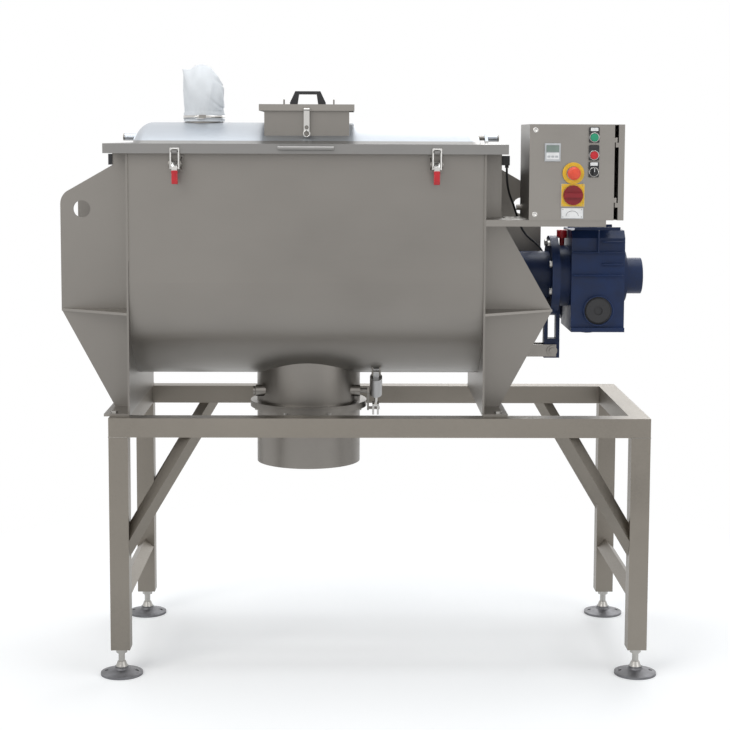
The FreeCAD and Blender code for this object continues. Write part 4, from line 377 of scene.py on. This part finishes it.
def lathe(name, profile, placement, material, body, steps=40):
    """A turned piece: profile is (radius, height) from the bottom up."""
    mesh = bpy.data.meshes.new(name)
    form = bmesh.new()
    rings = []
    for radius, height in profile:
        if radius == 0:
            rings.append([form.verts.new((0, 0, height))])
            continue
        rings.append([form.verts.new((radius * math.cos(2 * math.pi * k / steps),
                                      radius * math.sin(2 * math.pi * k / steps), height))
                      for k in range(steps)])
    for low, high in zip(rings, rings[1:]):
        for k in range(steps):
            after = k + 1
            corners = (low[k % len(low)], low[after % len(low)], high[after % len(high)], high[k % len(high)])
            form.faces.new(list(dict.fromkeys(corners)))
    bmesh.ops.recalc_face_normals(form, faces=form.faces)
    form.to_mesh(mesh)
    form.free()
    mesh.transform(placement)
    return keep(name, mesh, material, body)


# ---------------------------------------------------------------- dust bag
LEAN = 0.06       # how far the bag's top leans left, as a share of its half width
FULL = 0.93       # how far its cloth fills the space it was given, as a share of its half width


def dust_bag():
    """Sewn filter sock: round at the clamp band, drawn to a flat seam above, with soft creases."""
    low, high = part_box("dust_bag")
    ring_low, ring_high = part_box("bag_collar")
    middle = (low + high) / 2
    half = (high.x - low.x) / 2 - 0.001
    tall = high.z - low.z - 0.002
    around, up = 96, 60

    def crown(u):
        """Height of the seam across the bag: an ear on the left, a peak, and a long slope on the right."""
        left = 0.86 + 0.04 * math.cos(math.pi * (u + 1) * 2.2)
        peak = 1 - 0.22 * max(0.0, u + 0.05) ** 1.6 - 0.30 * max(0.0, u - 0.35) ** 1.1
        blend = min(1.0, max(0.0, (u + 0.95) / 0.75))
        return left * (1 - blend) + peak * blend

    def seam_point(share):
        """A point on the top seam, from its left end to its right end."""
        across = 2 * share - 1
        return (middle.x - LEAN * half + 0.975 * half * across, middle.y,
                low.z + 0.001 + tall * crown(across) - 0.0006)

    mesh = bpy.data.meshes.new("cloth_dust_bag")
    form = bmesh.new()
    rings = []
    sleeve = (ring_high.x - ring_low.x) / 2 + 0.0009
    hem = ring_low.z + 0.005
    centre = ((ring_high.x + ring_low.x) / 2, 0.0)
    for height, swell in ((0, 0.0012), (0.002, 0.0004), (0.008, 0.0), (0.020, 0.0), (0.026, 0.0004)):
        rings.append([form.verts.new((centre[0] + (sleeve + swell + 0.0003 * math.sin(31 * t)) * math.cos(t),
                                      centre[1] + (sleeve + swell + 0.0003 * math.sin(31 * t)) * math.sin(t),
                                      hem + height))
                      for t in [2 * math.pi * i / around for i in range(around)]])
    for j in range(1, up + 1):
        v = j / up
        ring = []
        for i in range(around):
            angle = 2 * math.pi * i / around
            across, deep = math.cos(angle), math.sin(angle)
            wide = half * (FULL + 0.05 * min(1, v * 5))
            thick = half * (FULL * (1 - v ** 2.6) + 0.035)
            lean = LEAN * half * v * v
            crease = 0.0022 * math.sin(7 * angle + 9 * v) * v
            crease += 0.0030 * math.exp(-((across - 0.25 - 0.35 * v) / 0.09) ** 2) * math.sin(math.pi * v)
            crease -= 0.0042 * math.exp(-((v - 0.62 - 0.35 * across) / 0.05) ** 2) * max(0, across)
            crease -= 0.0030 * math.exp(-((v - 0.38 + 0.25 * across) / 0.04) ** 2) * max(0, across)
            gather = 0.0012 * math.sin(26 * angle) * max(0, 1 - v * 7)
            swell = 1 + (crease + gather) / half
            x = middle.x - lean + wide * across * swell
            y = middle.y + thick * deep * swell
            z = low.z + 0.001 + tall * v * crown(across)
            z = max(z, hem + 0.0262 + 0.0005 * j)
            ring.append(form.verts.new((x, y, z)))
        rings.append(ring)
    for below, above in zip(rings, rings[1:]):
        for i in range(around):
            k = (i + 1) % around
            form.faces.new((below[i], below[k], above[k], above[i]))
    for i in range(1, around // 2):
        one, two = rings[-1][i], rings[-1][-i]
        nxt, back = rings[-1][(i + 1) % around], rings[-1][-(i + 1) % around]
        if i + 1 <= around // 2 and len({one, two, nxt, back}) >= 3:
            form.faces.new(list(dict.fromkeys((one, nxt, back, two))))
    first = rings[-1]
    form.faces.new((first[0], first[1], first[-1]))
    area = sum(face.calc_area() for face in form.faces)
    bmesh.ops.recalc_face_normals(form, faces=form.faces)
    form.to_mesh(mesh)
    form.free()
    piece = keep("cloth_dust_bag", mesh, CLOTH, "lid")
    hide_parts("dust_bag")
    inner, outer = sleeve + 0.0002, sleeve + 0.0020
    lathe("bag_band", [(inner, 0), (outer, 0.0006), (outer, 0.0114), (inner, 0.012), (inner, 0)],
          Matrix.Translation((centre[0], centre[1], hem + 0.0075)), CHROME, "lid", steps=96)
    flat_plate("band_housing", [rounded(0.022, 0.013, 0.002)], 0.006, 0.0015,
               facing_front(centre[0] - 0.006, centre[1] - sleeve - 0.0045, hem + 0.0135), CHROME, "lid")
    worm = [(centre[0] + x, centre[1] - sleeve - 0.0055, hem + 0.0135) for x in (-0.024, 0.009)]
    rod("band_screw", worm, 0.0028, BOLT_STEEL, "lid")
    rod("bag_top_seam", [seam_point(k / 24) for k in range(25)], 0.0011, CLOTH, "lid")


# ---------------------------------------------------------------- switch cable
CABLE_LENGTH, CABLE_THICK = 0.634, 0.007
CABLE_ROUTE = (
    (0.402, -0.173, 1.592), (0.402, -0.173, 1.558), (0.412, -0.140, 1.512), (0.431, -0.098, 1.476),
    (0.449, -0.076, 1.424), (0.472, -0.044, 1.378), (0.504, 0.016, 1.352), (0.532, 0.076, 1.332),
    (0.552, 0.122, 1.308), (0.570, 0.172, 1.278), (0.598, 0.217, 1.240), (0.647, 0.217, 1.240))


def switch_cable():
    """The lid switch's cable, from its gland past the shelf to the motor's terminal box."""
    curve = bpy.data.curves.new("lid_switch_cable", "CURVE")
    curve.dimensions = "3D"
    curve.bevel_depth = CABLE_THICK / 2
    curve.bevel_resolution = 4
    curve.use_fill_caps = True
    spline = curve.splines.new("NURBS")
    spline.points.add(len(CABLE_ROUTE) - 1)
    for point, place in zip(spline.points, CABLE_ROUTE):
        point.co = (*place, 1)
    spline.order_u = 3
    spline.use_endpoint_u = True
    curve.materials.append(BLACK_RUBBER)
    piece = bpy.data.objects.new("lid_switch_cable", curve)
    bpy.context.collection.objects.link(piece)
    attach(piece, "stand")
    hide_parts("switch_cable")


# ---------------------------------------------------------------- control door
# Places on the door: along X from its left edge, up from its bottom.
DISPLAY = (0.0705, 0.209)
STOP = (0.135, 0.145)
MAINS = (0.1345, 0.0775)
BARE = (0.1335, 0.022)
COLUMN = 0.198
HOLDER_LIFT = 0.0075     # centre of a holder plate above the control that it carries


def panel():
    """Faces of the controls on the door: display, emergency disc, switch plate, legends and a bare plate."""
    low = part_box("control_door")[0]
    face = low.y
    left, base = low.x, low.z

    def at(u, v, proud):
        """Placement for a plate on the door, standing proud of its face."""
        return facing_front(left + u, face - proud, base + v)

    body = "door"
    flat_plate("display_bezel", [rounded(0.047, 0.054, 0.004), rounded(0.040, 0.044, 0.0015)], 0.0024, 0.0006,
               at(*DISPLAY, 0.0073), GREY, body)
    flat_plate("display_glass", [rounded(0.0395, 0.0205, 0.001)], 0.0012, 0.0003,
               at(DISPLAY[0], DISPLAY[1] + 0.0115, 0.0067), GLASS, body)
    flat_plate("display_keys", [rounded(0.0395, 0.0205, 0.001)], 0.0012, 0.0003,
               at(DISPLAY[0], DISPLAY[1] - 0.0115, 0.0067), WHITE, body)
    for k in range(3):
        flat_plate(f"display_key_{k}", [rounded(0.009, 0.006, 0.0015)], 0.0012, 0.0004,
                   at(DISPLAY[0] + 0.012 * (k - 1), DISPLAY[1] - 0.013, 0.0078), GREY, body)
    flat_plate("stop_disc", [circle(0.0335), circle(0.0212)], 0.0022, 0.0006, at(*STOP, 0.0062),
               YELLOW, body)
    flat_plate("mains_plate", [rounded(0.071, 0.069, 0.003), circle(0.0323)], 0.0022, 0.0006,
               at(*MAINS, 0.0062), YELLOW, body)
    flat_plate("mains_skirt", [circle(0.0318), circle(0.0304)], 0.0016, 0.0004, at(*MAINS, 0.0088),
               YELLOW, body)
    knob = 0.0293
    for k in range(8):
        angle = math.pi / 4 * k
        rod(f"mains_grip_rib_{k}", [(left + MAINS[0] + knob * math.cos(angle + t), face - 0.0175,
                                     base + MAINS[1] + knob * math.sin(angle + t)) for t in (0, 0.12, 0.24)],
            0.0009, RED, "main_switch")
    flat_plate("bare_plate", [rounded(0.066, 0.031, 0.002)], 0.0014, 0.0004, at(*BARE, 0.0038),
               WHITE, body)
    dial = [(left + BARE[0] + 0.019 * math.cos(t), face - 0.0046,
             base + BARE[1] - 0.009 + 0.016 * math.sin(t))
            for t in [math.pi * k / 20 for k in range(21)]]
    rod("bare_plate_arc", dial, 0.0005, BLACK, body)
    for label, height in (("start", 0.255), ("stop", 0.2005), ("selector", 0.149)):
        hole = [(u, v - HOLDER_LIFT) for u, v in circle(0.0145)]
        flat_plate(f"{label}_holder", [rounded(0.031, 0.0475, 0.003), hole], 0.0024, 0.0006,
                   at(COLUMN, height + HOLDER_LIFT, 0.0063), BLACK, body)
        flat_plate(f"{label}_legend", [rounded(0.023, 0.010, 0.001)], 0.0012, 0.0003,
                   at(COLUMN, height + 0.0245, 0.0079), BLACK if label == "stop" else WHITE, body)
        flat_plate(f"{label}_ring", [circle(0.0148), circle(0.0127)], 0.003, 0.0008,
                   at(COLUMN, height, 0.0083), CHROME, body)
    rod("selector_mark", [(left + COLUMN, face - 0.0222, base + 0.149 + t) for t in (0.001, 0.006, 0.0118)],
        0.0009, WHITE, "selector")
    for k, (u, v) in enumerate(((0.018, 0.018), (0.018, 0.277))):
        lathe(f"door_lock_{k}", [(0.0085, 0), (0.0085, 0.0012), (0.0075, 0.0022), (0.0045, 0.0024),
                                 (0.0045, 0.0016), (0, 0.0016)], at(u, v, 0.0), CHROME, body)


# ---------------------------------------------------------------- clamp grips
def along(value, stops):
    """Straight interpolation through (value, result) stops in rising order."""
    for (low, start), (high, end) in zip(stops, stops[1:]):
        if value <= high:
            return start + (end - start) * max(0.0, value - low) / (high - low)
    return stops[-1][1]


# Heights on the lever below its pivot
GRIP_LOW, GRIP_TOP = -0.0622, -0.0200


def grips():
    """Rubber sleeves over the clamp levers, with finger ribs."""
    front = ((-0.061, -0.011), (-0.052, -0.016), (-0.016, -0.020))
    back = ((-0.060, -0.003), (-0.040, 0.001), (-0.016, -0.004))
    around, up, skin = 40, 30, 0.0011
    for side in ("left", "right"):
        low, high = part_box(f"clamp_lever_{side}")
        x, y, z = (low.x + high.x) / 2, low.y + 0.020, low.z + 0.061     # the lever's pivot
        mesh = bpy.data.meshes.new(f"grip_sleeve_{side}")
        form = bmesh.new()
        rings = []
        for k in range(up + 1):
            level = GRIP_LOW + (GRIP_TOP - GRIP_LOW) * k / up
            near, far = along(level, front) - skin, along(level, back) + skin
            rib = 0.0005 if k % 4 == 0 and 3 < k < 24 else 0.0
            cap = 0.86 if k in (0, up) else 1.0
            wide, deep = (0.0085 + skin - rib) * cap, ((far - near) / 2 - rib) * cap
            ring = []
            for i in range(around):
                turn = 2 * math.pi * i / around
                across, out = math.cos(turn), math.sin(turn)
                ring.append(form.verts.new((x + wide * math.copysign(abs(across) ** 0.3, across),
                                            y + (near + far) / 2 + deep * math.copysign(abs(out) ** 0.3, out),
                                            z + level)))
            rings.append(ring)
        for lower, upper in zip(rings, rings[1:]):
            for i in range(around):
                k = (i + 1) % around
                form.faces.new((lower[i], lower[k], upper[k], upper[i]))
        form.faces.new(rings[0][::-1])
        form.faces.new(rings[-1])
        form.to_mesh(mesh)
        form.free()
        keep(f"grip_sleeve_{side}", mesh, RED, f"lever_{side}")


# ---------------------------------------------------------------- weld beads
TUBE = 0.060


def welds():
    """Beads round the tops of the legs and up the corners of the tank."""
    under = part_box("stand_top_frame")[0].z
    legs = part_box("stand_legs")[1]
    for sx in (-1, 1):
        for sy in (-1, 1):
            x0, y0 = sx * legs.x, sy * legs.y
            x1, y1 = x0 - sx * TUBE, y0 - sy * TUBE
            corners = [(x0, y0), (x0, y1), (x1, y1), (x1, y0), (x0, y0)]
            for k in range(4):
                rod(f"leg_weld_{'l' if sx < 0 else 'r'}{'f' if sy < 0 else 'b'}{k}",
                    run_of((*corners[k], under), (*corners[k + 1], under)), 0.0016, BEAD, "stand",
                    ripple=0.22)
    trough_low, trough_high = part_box("trough_shell")
    for name, x in (("left", trough_low.x), ("right", trough_high.x)):
        for sy in (-1, 1):
            y = sy * trough_high.y
            rod(f"tank_weld_{name}_{'f' if sy < 0 else 'b'}",
                run_of((x, y, trough_high.z - 0.012), (x, y, trough_high.z - trough_high.y - 0.02), 0.007),
                0.0014, BEAD, "stand", ripple=0.2)


# ---------------------------------------------------------------- cast ribs, hinge tabs and screws
CASE_RIBS = (1.355, 1.320, 1.282, 1.246)     # heights of the level ribs
UPRIGHT_RIB = (1.318, 1.392)                 # foot and top of the upright one


def castings():
    """Ribs cast on the front of the gear case, and the rim round its cover."""
    low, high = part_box("gear_case")
    cover_low, cover_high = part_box("gear_cover")
    front = low.y
    centre = ((cover_low.x + cover_high.x) / 2, (cover_low.z + cover_high.z) / 2)
    right = min(high.x, centre[0] + 0.085)
    for k, z in enumerate(CASE_RIBS):
        start = centre[0] + 0.010 if k % 2 == 0 else centre[0] - 0.085
        rod(f"case_rib_{k}", [(start, front + 0.0008, z), (right - 0.006, front + 0.0008, z)], 0.0032, BLUE,
            "stand")
    rod("case_rib_upright", [(centre[0] - 0.003, front + 0.0008, z) for z in UPRIGHT_RIB], 0.0032, BLUE,
        "stand")
    ring = [(centre[0] + 0.0475 * math.cos(t), front - 0.0002, centre[1] + 0.0475 * math.sin(t))
            for t in [2 * math.pi * k / 40 for k in range(40)]]
    rod("cover_ring", ring, 0.0022, BLUE, "stand", closed=True)


def hinge_tabs():
    """The two knuckles on top of the port lid."""
    low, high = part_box("port_lid")
    middle = (low.x + high.x) / 2
    for index, x in enumerate((middle - 0.0815, middle + 0.0815)):
        flat_plate(f"port_hinge_tab_{index}", [rounded(0.005, 0.018, 0.002)], 0.016, 0.001,
                   facing_front(x, high.y - 0.040, high.z + 0.0085), STEEL_UP, "feed_lid")


def plate_screws():
    """Small screws at the corners of the switch plate and the bare plate."""
    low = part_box("control_door")[0]
    for name, (u, v), (wide, tall), proud in (("switch", MAINS, (0.062, 0.060), 0.0073),
                                             ("bare", BARE, (0.058, 0.023), 0.0045)):
        for k, (sx, sz) in enumerate(((-1, -1), (1, -1), (1, 1), (-1, 1))):
            lathe(f"{name}_screw_{k}", [(0.0017, 0), (0.0017, 0.0003), (0.0011, 0.0008), (0, 0.0009)],
                  facing_front(low.x + u + sx * wide / 2, low.y - proud, low.z + v + sz * tall / 2),
                  BOLT_STEEL, "door", steps=16)


castings()
hinge_tabs()
plate_screws()
dust_bag()
switch_cable()
panel()
grips()
welds()


# ---------------------------------------------------------------- studio
def seen_rays(tree):
    """1 where the background is seen by the camera or in a reflection or through glass, else 0."""
    path = add(tree, "ShaderNodeLightPath")
    total = path.outputs["Is Camera Ray"]
    for kind in ("Is Glossy Ray", "Is Transmission Ray"):
        sum_node = add(tree, "ShaderNodeMath", operation="MAXIMUM")
        tree.links.new(total, sum_node.inputs[0])
        tree.links.new(path.outputs[kind], sum_node.inputs[1])
        total = sum_node.outputs[0]
    return total


CAMERA_PLACE = (-0.1005, -5.527, 1.6938)
CAMERA_TURN = (-0.72, 5.68, 0.21)            # degrees: yaw, pitch down, roll
CAMERA_LENS, CAMERA_SHIFT = 83.1, (-0.0056, -0.0854)
FADE = (0.9, 2.2)                            # metres from the middle over which the floor turns white


def studio():
    """Floor, world, four softboxes and the camera."""
    scene = bpy.context.scene
    floor_mesh = bpy.data.meshes.new("floor")
    form = bmesh.new()
    bmesh.ops.create_circle(form, cap_ends=True, radius=40, segments=96)
    form.to_mesh(floor_mesh)
    form.free()
    floor = bpy.data.objects.new("floor", floor_mesh)
    scene.collection.objects.link(floor)
    floor.location.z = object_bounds()[0].z - 0.0005
    material, tree, shader = new_material("studio_floor")
    shader.inputs["Base Color"].default_value = (0.88, 0.88, 0.88, 1)
    shader.inputs["Roughness"].default_value = 1.0
    shader.inputs["Specular IOR Level"].default_value = 0.0
    shader.inputs["Emission Color"].default_value = (1, 1, 1, 1)
    seen = seen_rays(tree)
    tree.links.new(spread(tree, seen, 0.0, 0.16, 0.0, 1.0), shader.inputs["Emission Strength"])
    away = add(tree, "ShaderNodeVectorMath", operation="LENGTH")
    tree.links.new(coordinates(tree), away.inputs[0])
    fade = add(tree, "ShaderNodeMath", operation="MULTIPLY")
    tree.links.new(spread(tree, away.outputs["Value"], 0.0, 1.0, *FADE), fade.inputs[0])
    tree.links.new(seen, fade.inputs[1])
    glow = add(tree, "ShaderNodeEmission", Strength=1.0)
    mix = add(tree, "ShaderNodeMixShader")
    tree.links.new(fade.outputs[0], mix.inputs[0])
    tree.links.new(shader.outputs[0], mix.inputs[1])
    tree.links.new(glow.outputs[0], mix.inputs[2])
    tree.links.new(mix.outputs[0], tree.nodes["Material Output"].inputs["Surface"])
    floor_mesh.materials.append(material)
    floor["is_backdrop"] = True

    world = bpy.data.worlds.new("studio")
    scene.world = world
    world.use_nodes = True
    tree = world.node_tree
    tree.nodes.clear()
    sky = add(tree, "ShaderNodeBackground", Strength=0.55)
    sky.inputs["Color"].default_value = (0.92, 0.96, 1.0, 1)
    white = add(tree, "ShaderNodeBackground", Strength=1.0)
    white.inputs["Color"].default_value = (1, 1, 1, 1)
    mix = add(tree, "ShaderNodeMixShader")
    out = add(tree, "ShaderNodeOutputWorld")
    tree.links.new(seen_rays(tree), mix.inputs[0])
    tree.links.new(sky.outputs[0], mix.inputs[1])
    tree.links.new(white.outputs[0], mix.inputs[2])
    tree.links.new(mix.outputs[0], out.inputs["Surface"])

    def area(name, place, target, size, energy, colour=(1, 1, 1)):
        """A softbox aimed at a target."""
        light = bpy.data.lights.new(name, "AREA")
        light.shape = "RECTANGLE"
        light.size, light.size_y = size
        light.energy = energy
        light.color = colour
        holder = bpy.data.objects.new(name, light)
        scene.collection.objects.link(holder)
        holder.location = place
        holder.rotation_euler = (Vector(target) - Vector(place)).to_track_quat("-Z", "Y").to_euler()

    area("key_softbox", (-3.2, -4.2, 4.6), (0, 0, 1.1), (3.2, 3.2), 120, (1.0, 0.98, 0.95))
    area("top_softbox", (0.0, 0.4, 5.0), (0, 0, 1.2), (4.0, 3.0), 110, (0.95, 0.98, 1.0))
    area("fill_softbox", (4.2, -3.4, 2.6), (0, 0, 1.0), (3.0, 3.0), 45)
    area("back_softbox", (1.5, 4.6, 3.6), (0, 0, 1.0), (3.5, 2.5), 70)

    lens = bpy.data.cameras.new("camera")
    lens.sensor_fit = "HORIZONTAL"
    lens.sensor_width = 36.0
    lens.lens = CAMERA_LENS
    lens.shift_x, lens.shift_y = CAMERA_SHIFT
    lens.clip_end = 200
    eye = bpy.data.objects.new("camera", lens)
    scene.collection.objects.link(eye)
    yaw, pitch, roll = (math.radians(angle) for angle in CAMERA_TURN)
    right = Vector((math.cos(yaw), math.sin(yaw), 0))
    ahead = Vector((-math.sin(yaw), math.cos(yaw), 0))
    look = ahead * math.cos(pitch) - Vector((0, 0, math.sin(pitch)))
    upward = Vector((0, 0, math.cos(pitch))) + ahead * math.sin(pitch)
    side = right * math.cos(roll) + upward * math.sin(roll)
    top = upward * math.cos(roll) - right * math.sin(roll)
    turn = Matrix((side, top, -look)).transposed().to_4x4()
    eye.matrix_world = Matrix.Translation(CAMERA_PLACE) @ turn
    scene.camera = eye
    scene.view_settings.view_transform = "Standard"


studio()
